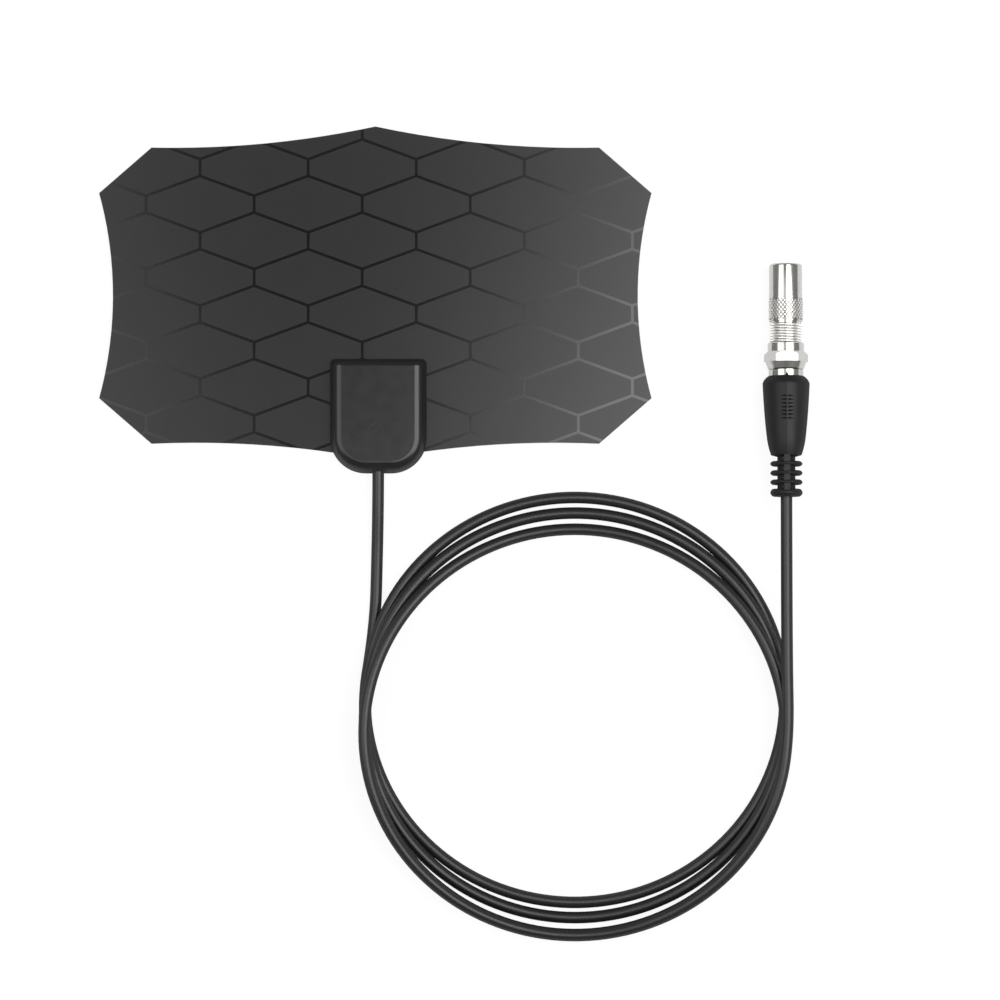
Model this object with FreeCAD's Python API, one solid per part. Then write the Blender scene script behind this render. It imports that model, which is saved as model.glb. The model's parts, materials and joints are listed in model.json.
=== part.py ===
import FreeCAD, Part
import math
import os

# Flat indoor television antenna, lying face up: a faceted film panel, a clip box over the
# middle of its lower edge, and a thin coaxial lead that ends in a screw plug with an adapter.
# Millimetres. The origin is under the middle of panel and box, +X to the right, +Z up.

Vec = FreeCAD.Vector

# Film panel: half sizes are measured from the middle of the panel
film_side_half_width = 80.0
film_top_half_width = 64.8
film_corner_half_height = 42.9
film_side_half_height = 29.7
film_top_rise = 6.1
film_bottom_drop = 4.6
film_side_sag = 4.0
film_edge_sag = 1.9
front_film_thickness = 0.3
rear_film_thickness = 0.3

# Embossed honeycomb of the front film
cell_width = 31.3
cell_side = 4.85
cell_rise = 5.75
cell_line_width = 0.8
cell_relief = 0.06
cell_phase_x = -3.8
cell_phase_y = 26.5
smallest_tile_area = 3.0

# Foil radiators between the films
foil_thickness = 0.1
foil_inset = 7.0
foil_band = 13.0
foil_gap = 5.0
foil_window_radius = 5.0

# Clip box
box_width = 28.1
box_length = 33.25
box_height = 8.0
box_centre_x = 0.9
box_overhang = 4.0
box_bottom_radius = 10.4
box_draft = 1.0
box_edge_radius = 2.9
box_end_radius = 1.5
box_wall = 1.3
box_roof = 1.4
rear_plate_thickness = 1.4
rear_plate_chamfer = 0.5
seam_clearance = 0.05

# Locating posts of the rear cover and the sockets that take them
post_radius = 1.2
post_height = 4.2
post_inset_x = 4.3
post_inset_top = 4.6
post_spacing = 18.6
socket_wall = 0.8

# Matching board and its transformer
board_width = 13.0
board_length = 13.0
board_thickness = 1.6
board_setback = 3.6
eyelet_spacing = 9.0
eyelet_radius = 1.0
eyelet_bore_radius = 0.6
eyelet_flange_radius = 1.7
eyelet_flange_thickness = 0.3
eyelet_setback = 9.5
core_radius = 2.5
core_bore_radius = 1.2
core_height = 2.0
core_setback = 3.6
winding_wire = 0.5
winding_turns = 6

# Coaxial cable
cable_diameter = 3.4
braid_diameter = 2.7
dielectric_diameter = 2.1
wire_diameter = 0.6
braid_length = 3.5
dielectric_length = 9.0
wire_length = 13.0
jacket_inside_box = 6.8
stop_ring_wall = 0.6
stop_ring_width = 1.5
saddle_half_width = 3.0

# Coil of cable on the table, three loose turns
coil_centre_x = 57.8
coil_centre_y = -120.6
coil_half_width = 60.8
coil_half_height_outer = 63.3
coil_half_height_inner = 54.0
coil_side_layers = 4
coil_end_layers = 2
coil_layer_pitch = 1.02

# Screw plug, its coupling nut and the adapter: places along the plug's axis, from the
# front face of the moulding, positive towards the nose
plug_x = 118.7
plug_front_y = -22.2
moulding_front_radius = 5.1
moulding_radius = 6.8
moulding_shoulder = 2.1
moulding_waist_radius = 5.6
moulding_waist = 17.9
moulding_neck_radius = 4.4
moulding_neck_lip = 0.5
moulding_length = 23.35
moulding_shoulder_bow = 0.25
moulding_flank_bow = 0.15
moulding_neck_bow = 0.15
relief_valley_radius = 2.6
relief_foot_radius = 4.1
relief_gap = 1.3
relief_rib_radius = 4.65
relief_rib_width = 1.37
relief_rib_count = 3
relief_end_ring = 2.1
relief_end_radius = 3.9
relief_spine_width = 1.7
relief_spine_radius = 4.4
grip_ridge_count = 7
grip_ridge_pitch = 1.07
grip_groove_width = 0.5
grip_groove_depth = 0.5
grip_width = 4.1
grip_seam_width = 0.5
grip_start = 5.9
body_shoulder_radius = 5.0
body_shoulder_length = 1.75
body_neck_radius = 3.85
body_flange_radius = 4.3
body_flange_length = 1.2
body_bore_radius = 2.2
body_crimp_radius = 3.3
body_crimp_length = 12.0
contact_radius = 0.4
contact_reach = 10.5
nut_across_flats = 11.0
nut_length = 7.84
nut_skirt_length = 2.3
nut_skirt_radius = 5.2
nut_skirt_front_radius = 5.95
nut_hex_length = 2.9
nut_bevel = 0.9
nut_collar_radius = 5.25
nut_lip = 0.95
nut_collar_chamfer = 0.3
nut_bore_radius = 4.78
running_clearance = 0.06
stub_radius = 4.7
stub_bore_radius = 3.4
stub_chamfer = 0.6
knurl_radius = 4.95
barrel_radius = 4.75
barrel_bore_radius = 4.1
barrel_tip_radius = 0.6
stub_start = 4.7
stub_end = 15.85
knurl_end = 22.7
barrel_end = 32.45
barrel_depth = 9.0
pin_radius = 1.2
pin_recess = 0.5
pin_nose = 0.6
contact_socket_radius = 0.5
contact_socket_depth = 7.2
insulator_neck_radius = 2.9
rear_insulator_length = 7.0

# Heights through the panel and the box, from the table upwards
rear_film_z = rear_plate_thickness
front_film_z = rear_film_z + rear_film_thickness
film_top_z = front_film_z + front_film_thickness
board_top_z = film_top_z + board_thickness
cable_radius = cable_diameter / 2
cable_axis_z = board_top_z + wire_diameter / 2

# Places along Y: panel and box together are centred on the origin
film_top_y = film_corner_half_height + film_top_rise
film_bottom_y = film_corner_half_height + film_bottom_drop
overall_height = film_top_y + film_bottom_y + box_overhang
panel_y = overall_height / 2 - film_top_y
box_bottom_y = -overall_height / 2
box_top_y = box_bottom_y + box_length
jacket_end_y = box_bottom_y + jacket_inside_box
board_top_y = box_top_y - board_setback
eyelet_y = board_top_y - eyelet_setback
core_y = board_top_y - core_setback

# Closeness in which an edge counts as lying at a place
slack = 0.001

os.makedirs("parts", exist_ok=True)


def save(node, shape):
    """Write one piece as its own file."""
    shape.exportStep("parts/" + node + ".step")


def arc_edge(start, through, end):
    """Circular edge through three points."""
    return Part.Arc(start, through, end).toShape()


def line_edge(start, end):
    """Straight edge between two points."""
    return Part.LineSegment(start, end).toShape()


def prism(wire, height):
    """Upright solid on a flat closed wire."""
    return Part.Face(wire).extrude(Vec(0, 0, height))


def rod(radius, start, end):
    """Round bar between two points."""
    return Part.makeCylinder(radius, (end - start).Length, start, end - start)


def tube(outer_radius, inner_radius, start, end):
    """Round pipe between two points."""
    return rod(outer_radius, start, end).cut(rod(inner_radius, start, end))


def sagging_edge(start, end, sag):
    """Arc between two points of the outline, bowed by sag towards the panel's middle."""
    middle = (start + end) * 0.5
    run = end - start
    inward = Vec(-run.y, run.x, 0)
    inward.normalize()
    return arc_edge(start, middle + inward * sag, end)


def panel_wire(inset, z):
    """Outline of the panel, drawn in by inset: concave edges and straight cut corners.

    The points run anticlockwise, so the inside lies to the left of each edge.
    """
    side = film_side_half_width - inset
    top = film_top_half_width - inset
    corner = film_corner_half_height - inset
    notch = film_side_half_height
    bottom_tip = Vec(0, panel_y - corner - film_bottom_drop, z)
    bottom_right = Vec(top, panel_y - corner, z)
    right_low = Vec(side, panel_y - notch, z)
    right_high = Vec(side, panel_y + notch, z)
    top_right = Vec(top, panel_y + corner, z)
    top_tip = Vec(0, panel_y + corner + film_top_rise, z)
    top_left = Vec(-top, panel_y + corner, z)
    left_high = Vec(-side, panel_y + notch, z)
    left_low = Vec(-side, panel_y - notch, z)
    bottom_left = Vec(-top, panel_y - corner, z)
    return Part.Wire([
        sagging_edge(bottom_tip, bottom_right, film_edge_sag),
        line_edge(bottom_right, right_low),
        sagging_edge(right_low, right_high, film_side_sag),
        line_edge(right_high, top_right),
        sagging_edge(top_right, top_tip, film_edge_sag),
        sagging_edge(top_tip, top_left, film_edge_sag),
        line_edge(top_left, left_high),
        sagging_edge(left_high, left_low, film_side_sag),
        line_edge(left_low, bottom_left),
        sagging_edge(bottom_left, bottom_tip, film_edge_sag),
    ])


def tile_face(centre_x, centre_y, z):
    """One honeycomb tile, drawn in by half a line from the cell around it."""
    half = cell_width / 2
    margin = cell_line_width / 2
    slant = math.hypot(half, cell_rise)
    tip = cell_side / 2 + cell_rise - margin * slant / half
    flank = cell_side / 2 - margin * (slant - cell_rise) / half
    width = half - margin
    corners = [(0, tip), (-width, flank), (-width, -flank), (0, -tip), (width, -flank), (width, flank)]
    points = [Vec(centre_x + x, centre_y + y, z) for x, y in corners]
    return Part.Face(Part.makePolygon(points + points[:1]))


def film_holes(low_z, high_z):
    """Holes through the films for the rear cover's posts and the feed eyelets."""
    holes = [rod(post_radius + seam_clearance, Vec(x, y, low_z), Vec(x, y, high_z)) for x, y in post_places]
    holes += [rod(eyelet_radius, Vec(x, eyelet_y, low_z), Vec(x, eyelet_y, high_z)) for x in eyelet_places]
    return holes


def make_front_film():
    """Front film: a slab whose honeycomb tiles stand a little above the lines between them."""
    slab_thickness = front_film_thickness - cell_relief
    slab = prism(panel_wire(0, front_film_z), slab_thickness)
    tile_z = front_film_z + slab_thickness
    outline = Part.Face(panel_wire(0, tile_z))
    row_pitch = cell_side + cell_rise
    first_row = -math.ceil((film_top_y - cell_phase_y) / row_pitch)
    last_row = math.ceil((film_bottom_y + cell_phase_y) / row_pitch)
    columns = math.ceil(film_side_half_width / cell_width) + 1
    tiles = []
    for row in range(first_row, last_row + 1):
        shift = cell_phase_x + (cell_width / 2 if row % 2 == 0 else 0)
        for column in range(-columns, columns + 1):
            cell = tile_face(shift + column * cell_width, panel_y + cell_phase_y - row * row_pitch, tile_z)
            kept = cell.common(outline)
            tiles += [face for face in kept.Faces if face.Area > smallest_tile_area]
    raised = [face.extrude(Vec(0, 0, cell_relief)) for face in tiles]
    film = slab.fuse(raised).removeSplitter()
    return film.cut(film_holes(front_film_z, film_top_z))


def make_foil(side):
    """One foil loop radiator; side is 1 for the right half and -1 for the left."""
    low_z = front_film_z - foil_thickness
    sheet = prism(panel_wire(foil_inset, low_z), foil_thickness)
    reach = 2 * film_side_half_width
    inner_edge = box_centre_x + side * foil_gap / 2
    start_x = inner_edge if side > 0 else inner_edge - reach
    half = Part.makeBox(reach, overall_height, foil_thickness, Vec(start_x, -overall_height / 2, low_z))
    loop = sheet.common(half)
    window_height = 2 * (film_corner_half_height - foil_inset - foil_band)
    window_width = film_top_half_width - foil_inset - 2 * foil_band
    window_x = foil_gap / 2 + foil_band
    corner = Vec(window_x if side > 0 else -window_x - window_width, panel_y - window_height / 2, low_z)
    window = Part.makeBox(window_width, window_height, foil_thickness, corner)
    upright = [edge for edge in window.Edges if abs(edge.tangentAt(edge.FirstParameter).z) > 0.5]
    loop = loop.cut(window.makeFillet(foil_window_radius, upright))
    return loop.cut(film_holes(low_z, front_film_z))


def around(x, y, z, radius, degrees):
    """Point on a level circle."""
    angle = math.radians(degrees)
    return Vec(x + radius * math.cos(angle), y + radius * math.sin(angle), z)


def box_wire(inset, z):
    """Outline of the clip box, drawn in by inset: square top corners and large round bottom corners."""
    left = box_centre_x - box_width / 2 + inset
    right = box_centre_x + box_width / 2 - inset
    low = box_bottom_y + inset
    radius = box_bottom_radius - inset
    top_left = Vec(left, box_top_y - inset, z)
    top_right = Vec(right, box_top_y - inset, z)
    low_left = [around(left + radius, low + radius, z, radius, turn) for turn in (180, 225, 270)]
    low_right = [around(right - radius, low + radius, z, radius, turn) for turn in (270, 315, 360)]
    return Part.Wire([
        arc_edge(*low_left),
        line_edge(low_left[-1], low_right[0]),
        arc_edge(*low_right),
        line_edge(low_right[-1], top_right),
        line_edge(top_right, top_left),
        line_edge(top_left, low_left[0]),
    ])


def box_block(inset, low_z, high_z):
    """Drafted block between two heights of the box, drawn in by inset all round."""
    slope = box_draft / (box_height - rear_plate_thickness)
    low_inset = inset + slope * (low_z - rear_plate_thickness)
    high_inset = inset + slope * (high_z - rear_plate_thickness)
    return Part.makeLoft([box_wire(low_inset, low_z), box_wire(high_inset, high_z)], True, True)


def edges_at(shape, z):
    """Edges of a solid that lie flat at one height."""
    boxes = [(edge, edge.BoundBox) for edge in shape.Edges]
    return [edge for edge, box in boxes if abs(box.ZMin - z) < slack and abs(box.ZMax - z) < slack]


def end_edges(shape, inset, above_z):
    """Edges around the box's top end, apart from those that lie at or below a height."""
    boxes = [(edge, edge.BoundBox) for edge in shape.Edges]
    low_y = box_top_y - inset - slack
    return [edge for edge, box in boxes if box.YMin > low_y and box.ZMax > above_z + slack]


def rounded_block():
    """Outside of the front cover: its long rim rounded wide, its top end rounded less."""
    block = box_block(0, rear_plate_thickness, box_height)
    rim = [edge for edge in edges_at(block, box_height) if edge.BoundBox.YMin < box_top_y - box_draft - slack]
    block = block.makeFillet(box_edge_radius, rim)
    return block.makeFillet(box_end_radius, end_edges(block, box_draft, rear_plate_thickness))


def exit_gate(margin):
    """Part of the box's end wall below the cable's axis, which belongs to the rear cover."""
    half = saddle_half_width + margin
    reach = box_wall + box_draft
    low = Vec(box_centre_x - half, box_bottom_y, rear_plate_thickness)
    return Part.makeBox(2 * half, reach, cable_axis_z + margin - rear_plate_thickness, low)


def cable_hole(clearance):
    """Straight round way for the cable, from outside the box to where its jacket ends."""
    outside = Vec(box_centre_x, box_bottom_y - box_wall, cable_axis_z)
    return rod(cable_radius + clearance, outside, Vec(box_centre_x, jacket_end_y, cable_axis_z))


def make_front_cover():
    """Front cover: a drafted tray with rounded edges, four sockets and an arch for the cable."""
    cover = rounded_block().cut(box_block(box_wall, rear_plate_thickness, box_height - box_roof))
    roof_z = box_height - box_roof
    for x, y in post_places:
        base = Vec(x, y, film_top_z)
        socket = rod(post_radius + seam_clearance + socket_wall, base, Vec(x, y, roof_z))
        cover = cover.fuse(socket)
    cover = cover.removeSplitter()
    for x, y in post_places:
        top = Vec(x, y, film_top_z + post_height + seam_clearance)
        cover = cover.cut(rod(post_radius + seam_clearance, Vec(x, y, film_top_z), top))
    film_slot = prism(panel_wire(-seam_clearance, rear_plate_thickness), film_top_z - rear_plate_thickness)
    cover = cover.cut(film_slot)
    return cover.cut(exit_gate(seam_clearance)).cut(cable_hole(seam_clearance))


def make_rear_cover():
    """Rear cover: a flat plate with locating posts and the lower half of the cable's way out."""
    plate = prism(box_wire(0, 0), rear_plate_thickness)
    upright = [edge for edge in end_edges(plate, 0, 0) if edge.BoundBox.ZLength > slack]
    plate = plate.makeFillet(box_end_radius, upright)
    plate = plate.makeChamfer(rear_plate_chamfer, edges_at(plate, 0))
    wall = box_block(0, rear_plate_thickness, box_height)
    wall = wall.cut(box_block(box_wall, rear_plate_thickness, box_height))
    plate = plate.fuse(wall.common(exit_gate(0)))
    posts = [rod(post_radius, Vec(x, y, rear_plate_thickness), Vec(x, y, film_top_z + post_height))
             for x, y in post_places]
    plate = plate.fuse(posts)
    pocket_floor = rear_film_z - eyelet_flange_thickness
    pocket_radius = eyelet_flange_radius + seam_clearance
    pockets = [rod(pocket_radius, Vec(x, eyelet_y, pocket_floor), Vec(x, eyelet_y, rear_film_z))
               for x in eyelet_places]
    return plate.cut(pockets).cut(cable_hole(0))


def make_board():
    """Matching board with the two feed holes."""
    low = Vec(box_centre_x - board_width / 2, board_top_y - board_length, film_top_z)
    board = Part.makeBox(board_width, board_length, board_thickness, low)
    holes = [rod(eyelet_radius, Vec(x, eyelet_y, film_top_z), Vec(x, eyelet_y, board_top_z))
             for x in eyelet_places]
    return board.cut(holes)


def make_eyelet(x):
    """Feed eyelet: a pipe with a flange under the films and one on the board."""
    low_z = rear_film_z - eyelet_flange_thickness
    high_z = board_top_z + eyelet_flange_thickness
    low = Vec(x, eyelet_y, low_z)
    high = Vec(x, eyelet_y, high_z)
    shank = rod(eyelet_radius, low, high)
    foot = rod(eyelet_flange_radius, low, Vec(x, eyelet_y, rear_film_z))
    head = rod(eyelet_flange_radius, Vec(x, eyelet_y, board_top_z), high)
    return shank.fuse([foot, head]).removeSplitter().cut(rod(eyelet_bore_radius, low, high))


def make_core():
    """Ferrite ring of the matching transformer, standing on the board."""
    base = Vec(box_centre_x, core_y, board_top_z + winding_wire)
    return tube(core_radius, core_bore_radius, base, base + Vec(0, 0, core_height))


def make_winding():
    """Wire turns around the ferrite ring, spread over its two halves."""
    gap = winding_wire
    bore_edge = math.sqrt(core_bore_radius ** 2 - (gap / 2) ** 2)
    inner = bore_edge - gap
    outer = core_radius + gap
    low_z = board_top_z
    high_z = low_z + core_height + 2 * gap
    ring = Part.makeBox(outer - inner, gap, high_z - low_z, Vec(inner, -gap / 2, low_z))
    opening = Part.makeBox(core_radius - bore_edge, gap, core_height, Vec(bore_edge, -gap / 2, low_z + gap))
    turn = ring.cut(opening)
    turns = []
    for index in range(winding_turns):
        copy = turn.copy()
        copy.rotate(Vec(0, 0, 0), Vec(0, 0, 1), 360.0 * (index + 0.5) / winding_turns)
        copy.translate(Vec(box_centre_x, core_y, 0))
        turns.append(copy)
    return Part.makeCompound(turns)


def rounded_path(points, name):
    """Wire along a cord's route: straight runs joined by tangent arcs as large as the runs allow."""
    edges = []
    radii = []
    start = points[0]
    for before, corner, after in zip(points, points[1:], points[2:]):
        run_in = corner - before
        run_out = after - corner
        turn = run_in.getAngle(run_out)
        trim = 0.45 * min(run_in.Length, run_out.Length)
        radius = trim / math.tan(turn / 2)
        radii.append(radius)
        run_in.normalize()
        run_out.normalize()
        enter = corner - run_in * trim
        leave = corner + run_out * trim
        bisector = run_out - run_in
        bisector.normalize()
        depth = radius / math.cos(turn / 2) - radius
        edges.append(line_edge(start, enter))
        edges.append(arc_edge(enter, corner + bisector * depth, leave))
        start = leave
    edges.append(line_edge(start, points[-1]))
    print(name, "bend radii", [round(radius) for radius in radii])
    return Part.Wire(edges)


def make_cable(points, name):
    """Plain cable along a route; prints its volume against section times length."""
    path = rounded_path(points, name)
    along = points[1] - points[0]
    section = Part.Wire(Part.Circle(points[0], along, cable_radius).toShape())
    cable = path.makePipeShell([section], True, False)
    print(name, "volume", round(cable.Volume), "of", round(math.pi * cable_radius ** 2 * path.Length))
    return cable


def oval_wire(half_width, half_height):
    """Level ellipse about the origin, whichever of its half sizes is the longer."""
    across = Vec(half_width, 0, 0)
    upwards = Vec(0, half_height, 0)
    longer, shorter = (across, upwards) if half_width > half_height else (upwards, across)
    return Part.Wire(Part.Ellipse(longer, shorter, Vec(0, 0, 0)).toShape())


def make_coil():
    """Outer shape of the coil: an oval ring, low at its two ends and high where its turns stack."""
    layer = cable_diameter * coil_layer_pitch
    side_top = cable_diameter + (coil_side_layers - 1) * layer
    end_top = cable_diameter + (coil_end_layers - 1) * layer
    half_width = coil_half_width + cable_radius
    half_height = coil_half_height_outer + cable_radius
    inner_width = coil_half_width - cable_radius
    inner_height = coil_half_height_inner - cable_radius
    outer = prism(oval_wire(half_width, half_height), side_top)
    ring = outer.cut(prism(oval_wire(inner_width, inner_height), side_top))
    crest = Part.BezierCurve()
    crest.setPoles([Vec(half_width, -half_height, side_top), Vec(0, -half_height, 2 * end_top - side_top),
                    Vec(-half_width, -half_height, side_top)])
    floor_right = Vec(half_width, -half_height, 0)
    floor_left = Vec(-half_width, -half_height, 0)
    saddle = Part.Wire([
        line_edge(floor_left, floor_right),
        line_edge(floor_right, Vec(half_width, -half_height, side_top)),
        crest.toShape(),
        line_edge(Vec(-half_width, -half_height, side_top), floor_left),
    ])
    coil = ring.common(Part.Face(saddle).extrude(Vec(0, 2 * half_height, 0)))
    coil.translate(Vec(coil_centre_x, coil_centre_y, 0))
    return coil


def turned(points):
    """Solid of revolution about the plug's axis from a polygon of radius and place."""
    corners = [Vec(radius, place, 0) for radius, place in points]
    return turned_face(Part.Wire(Part.makePolygon(corners + corners[:1])))


def turned_face(wire):
    """Solid of revolution about the plug's axis from a closed wire."""
    return Part.Face(wire).revolve(Vec(0, 0, 0), Vec(0, 1, 0), 360)


def bowed_edge(start, end, bow):
    """Arc of a turned profile between two points, bowed outwards by bow."""
    middle = (start + end) * 0.5
    run = end - start
    outward = Vec(-run.y, run.x, 0)
    outward.normalize()
    return arc_edge(start, middle + outward * bow, end)


def make_moulding():
    """Grip of the plug with its strain relief, one moulding; also gives the place of its rear end."""
    waist = Vec(moulding_waist_radius, -moulding_waist, 0)
    shoulder = Vec(moulding_radius, -moulding_shoulder, 0)
    neck = Vec(moulding_neck_radius, moulding_neck_lip - moulding_length, 0)
    valley = Vec(relief_valley_radius, -moulding_length, 0)
    front = Vec(moulding_front_radius, 0, 0)
    edges = [
        line_edge(Vec(0, 0, 0), front),
        bowed_edge(front, shoulder, moulding_shoulder_bow),
        bowed_edge(shoulder, waist, moulding_flank_bow),
        bowed_edge(waist, neck, moulding_neck_bow),
        line_edge(neck, valley),
    ]
    for index in range(relief_rib_count + 1):
        last = index == relief_rib_count
        front_y = valley.y - relief_gap
        rear_y = front_y - (relief_end_ring if last else relief_rib_width)
        foot = Vec(relief_valley_radius, front_y, 0)
        rise = Vec(relief_foot_radius, front_y, 0)
        crest = Vec(relief_rib_radius, (front_y + rear_y) / 2, 0)
        fall = Vec(relief_end_radius if last else relief_foot_radius, rear_y, 0)
        next_valley = Vec(0 if last else relief_valley_radius, rear_y, 0)
        edges += [line_edge(valley, foot), line_edge(foot, rise), arc_edge(rise, crest, fall),
                  line_edge(fall, next_valley)]
        valley = next_valley
    end = valley.y
    edges.append(line_edge(valley, Vec(0, 0, 0)))
    grip = turned_face(Part.Wire(edges))
    spine_end = end + relief_end_ring / 2
    spine = Part.makeBox(relief_spine_width, -moulding_length - spine_end, 2 * relief_spine_radius,
                         Vec(-relief_spine_width / 2, spine_end, -relief_spine_radius))
    grip = grip.fuse(spine).removeSplitter()
    taper = (moulding_radius - moulding_waist_radius) / (moulding_waist - moulding_shoulder)
    run = (grip_width - grip_seam_width) / 2
    grooves = []
    for index in range(grip_ridge_count):
        place = grip_start + index * grip_ridge_pitch
        bed = moulding_radius - taper * (place - moulding_shoulder) - grip_groove_depth
        for left in (-grip_width / 2, grip_seam_width / 2):
            groove = Part.makeBox(run, grip_groove_width, moulding_radius,
                                  Vec(left, -place - grip_groove_width, bed))
            opposite = groove.copy()
            opposite.rotate(Vec(0, 0, 0), Vec(0, 1, 0), 180)
            grooves += [groove, opposite]
    return grip.cut(grooves), end


def make_plug_body():
    """Metal body of the plug: crimp pipe in the moulding, shoulder, neck and the nut's flange."""
    neck_end = body_shoulder_length + nut_lip + 2 * running_clearance
    flange_end = neck_end + body_flange_length
    return turned([
        (body_bore_radius, -body_crimp_length),
        (body_crimp_radius, -body_crimp_length),
        (body_crimp_radius, 0),
        (body_shoulder_radius, 0),
        (body_shoulder_radius, body_shoulder_length),
        (body_neck_radius, body_shoulder_length),
        (body_neck_radius, neck_end),
        (body_flange_radius, neck_end),
        (body_flange_radius, flange_end),
        (body_bore_radius, flange_end),
    ])


def make_nut():
    """Coupling nut: conical skirt, hexagon chamfered in front, and collar; its lip runs behind the flange."""
    rear = body_shoulder_length + running_clearance
    hex_rear = rear + nut_skirt_length
    hex_front = hex_rear + nut_hex_length
    front = rear + nut_length
    corner_radius = nut_across_flats / math.sqrt(3)
    corners = [Vec(corner_radius * math.cos(math.radians(60 * index)), hex_rear,
                   corner_radius * math.sin(math.radians(60 * index))) for index in range(7)]
    prism_hex = Part.Face(Part.makePolygon(corners)).extrude(Vec(0, nut_hex_length, 0))
    bevel_radius = corner_radius - nut_bevel
    limit = turned([(0, hex_rear), (corner_radius, hex_rear), (corner_radius, hex_front - nut_bevel),
                    (bevel_radius, hex_front), (0, hex_front)])
    skirt = turned([(0, rear), (nut_skirt_radius, rear), (nut_skirt_front_radius, hex_rear), (0, hex_rear)])
    collar = turned([(0, hex_front), (nut_collar_radius, hex_front),
                     (nut_collar_radius, front - nut_collar_chamfer),
                     (nut_collar_radius - nut_collar_chamfer, front), (0, front)])
    blank = prism_hex.common(limit).fuse([skirt, collar]).removeSplitter()
    lip_front = rear + nut_lip
    bore = turned([(0, lip_front), (nut_bore_radius, lip_front), (nut_bore_radius, front), (0, front)])
    lip_bore = turned([(0, rear), (body_neck_radius + running_clearance, rear),
                       (body_neck_radius + running_clearance, lip_front), (0, lip_front)])
    return blank.cut(bore).cut(lip_bore)


def make_adapter_body():
    """Adapter: screw stub, knurled grip and the plain barrel of the aerial plug, one turned piece."""
    tip = barrel_end - barrel_tip_radius
    barrel_floor = barrel_end - barrel_depth
    stub_floor = stub_start + rear_insulator_length
    tip_arc = math.sqrt(0.5) * barrel_tip_radius
    ring = barrel_radius - barrel_tip_radius
    points = [(stub_bore_radius, stub_start), (stub_radius - stub_chamfer, stub_start),
              (stub_radius, stub_start + stub_chamfer), (stub_radius, stub_end), (knurl_radius, stub_end),
              (knurl_radius, knurl_end), (barrel_radius, knurl_end), (barrel_radius, tip)]
    edges = [line_edge(Vec(a[0], a[1], 0), Vec(b[0], b[1], 0)) for a, b in zip(points, points[1:])]
    edges.append(arc_edge(Vec(barrel_radius, tip, 0), Vec(ring + tip_arc, tip + tip_arc, 0),
                          Vec(ring, barrel_end, 0)))
    inside = [(ring, barrel_end), (barrel_bore_radius, barrel_end), (barrel_bore_radius, barrel_floor),
              (insulator_neck_radius, barrel_floor), (insulator_neck_radius, stub_floor),
              (stub_bore_radius, stub_floor), (stub_bore_radius, stub_start)]
    edges += [line_edge(Vec(a[0], a[1], 0), Vec(b[0], b[1], 0)) for a, b in zip(inside, inside[1:])]
    return turned_face(Part.Wire(edges))


def make_adapter_insulators():
    """Rear and front insulators, which hold the adapter's pin in its body."""
    barrel_floor = barrel_end - barrel_depth
    rear_end = stub_start + rear_insulator_length
    rear = turned([(pin_radius, stub_start), (stub_bore_radius, stub_start), (stub_bore_radius, rear_end),
                   (pin_radius, rear_end)])
    front = turned([(pin_radius, rear_end), (insulator_neck_radius, rear_end),
                    (insulator_neck_radius, barrel_floor), (pin_radius, barrel_floor)])
    return rear, front


def make_adapter_pin():
    """Adapter's centre pin: socket for the plug's contact at the rear, rounded point at the front."""
    front = barrel_end - pin_recess
    socket_end = stub_start + contact_socket_depth
    return turned([(contact_socket_radius, stub_start), (pin_radius, stub_start),
                   (pin_radius, front - pin_nose), (pin_radius - pin_nose, front), (0, front),
                   (0, socket_end), (contact_socket_radius, socket_end)])


def plug_placement(tilt, height):
    """Lay a piece of the plug down: nose tipped towards the table, on the plug's axis."""
    return FreeCAD.Placement(Vec(plug_x, plug_front_y, height),
                             FreeCAD.Rotation(Vec(1, 0, 0), -math.degrees(tilt)))


# The posts stand in the four corners of the box, the eyelets beside each other on the board
post_x = box_width / 2 - post_inset_x
post_high_y = box_top_y - post_inset_top
post_places = [(box_centre_x + side * post_x, post_high_y - row * post_spacing)
               for row in (0, 1) for side in (-1, 1)]
eyelet_places = [box_centre_x - eyelet_spacing / 2, box_centre_x + eyelet_spacing / 2]

# Films and foils
foil_left = make_foil(-1)
foil_right = make_foil(1)
rear_film = prism(panel_wire(0, rear_film_z), rear_film_thickness)
rear_film = rear_film.cut(film_holes(rear_film_z, front_film_z)).cut([foil_left, foil_right])
save("front_film", make_front_film())
save("rear_film", rear_film)
save("foil_radiator_left", foil_left)
save("foil_radiator_right", foil_right)

# Clip box and what it holds
save("box_front_cover", make_front_cover())
save("box_rear_cover", make_rear_cover())
save("matching_board", make_board())
save("feed_eyelet_left", make_eyelet(eyelet_places[0]))
save("feed_eyelet_right", make_eyelet(eyelet_places[1]))
save("transformer_core", make_core())
save("transformer_winding", make_winding())

# Stripped end of the cable in the box
jacket_end = Vec(box_centre_x, jacket_end_y, cable_axis_z)
braid_end = jacket_end + Vec(0, braid_length, 0)
dielectric_end = jacket_end + Vec(0, dielectric_length, 0)
wire_end = jacket_end + Vec(0, wire_length, 0)
stop_start = Vec(box_centre_x, box_bottom_y + box_wall + box_draft + seam_clearance, cable_axis_z)
save("cable_braid", tube(braid_diameter / 2, dielectric_diameter / 2, jacket_end, braid_end))
save("cable_dielectric", tube(dielectric_diameter / 2, wire_diameter / 2, jacket_end, dielectric_end))
save("cable_wire", rod(wire_diameter / 2, jacket_end, wire_end))
save("cable_stop_ring", tube(cable_radius + stop_ring_wall, cable_radius, stop_start,
                             stop_start + Vec(0, stop_ring_width, 0)))

# Plug, laid down so that the barrel's tip and the widest ring of the grip touch the table
moulding, moulding_end = make_moulding()
tilt = math.atan2(moulding_radius - barrel_radius, barrel_end - barrel_tip_radius + moulding_shoulder)
adapter_body = make_adapter_body()


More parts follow.
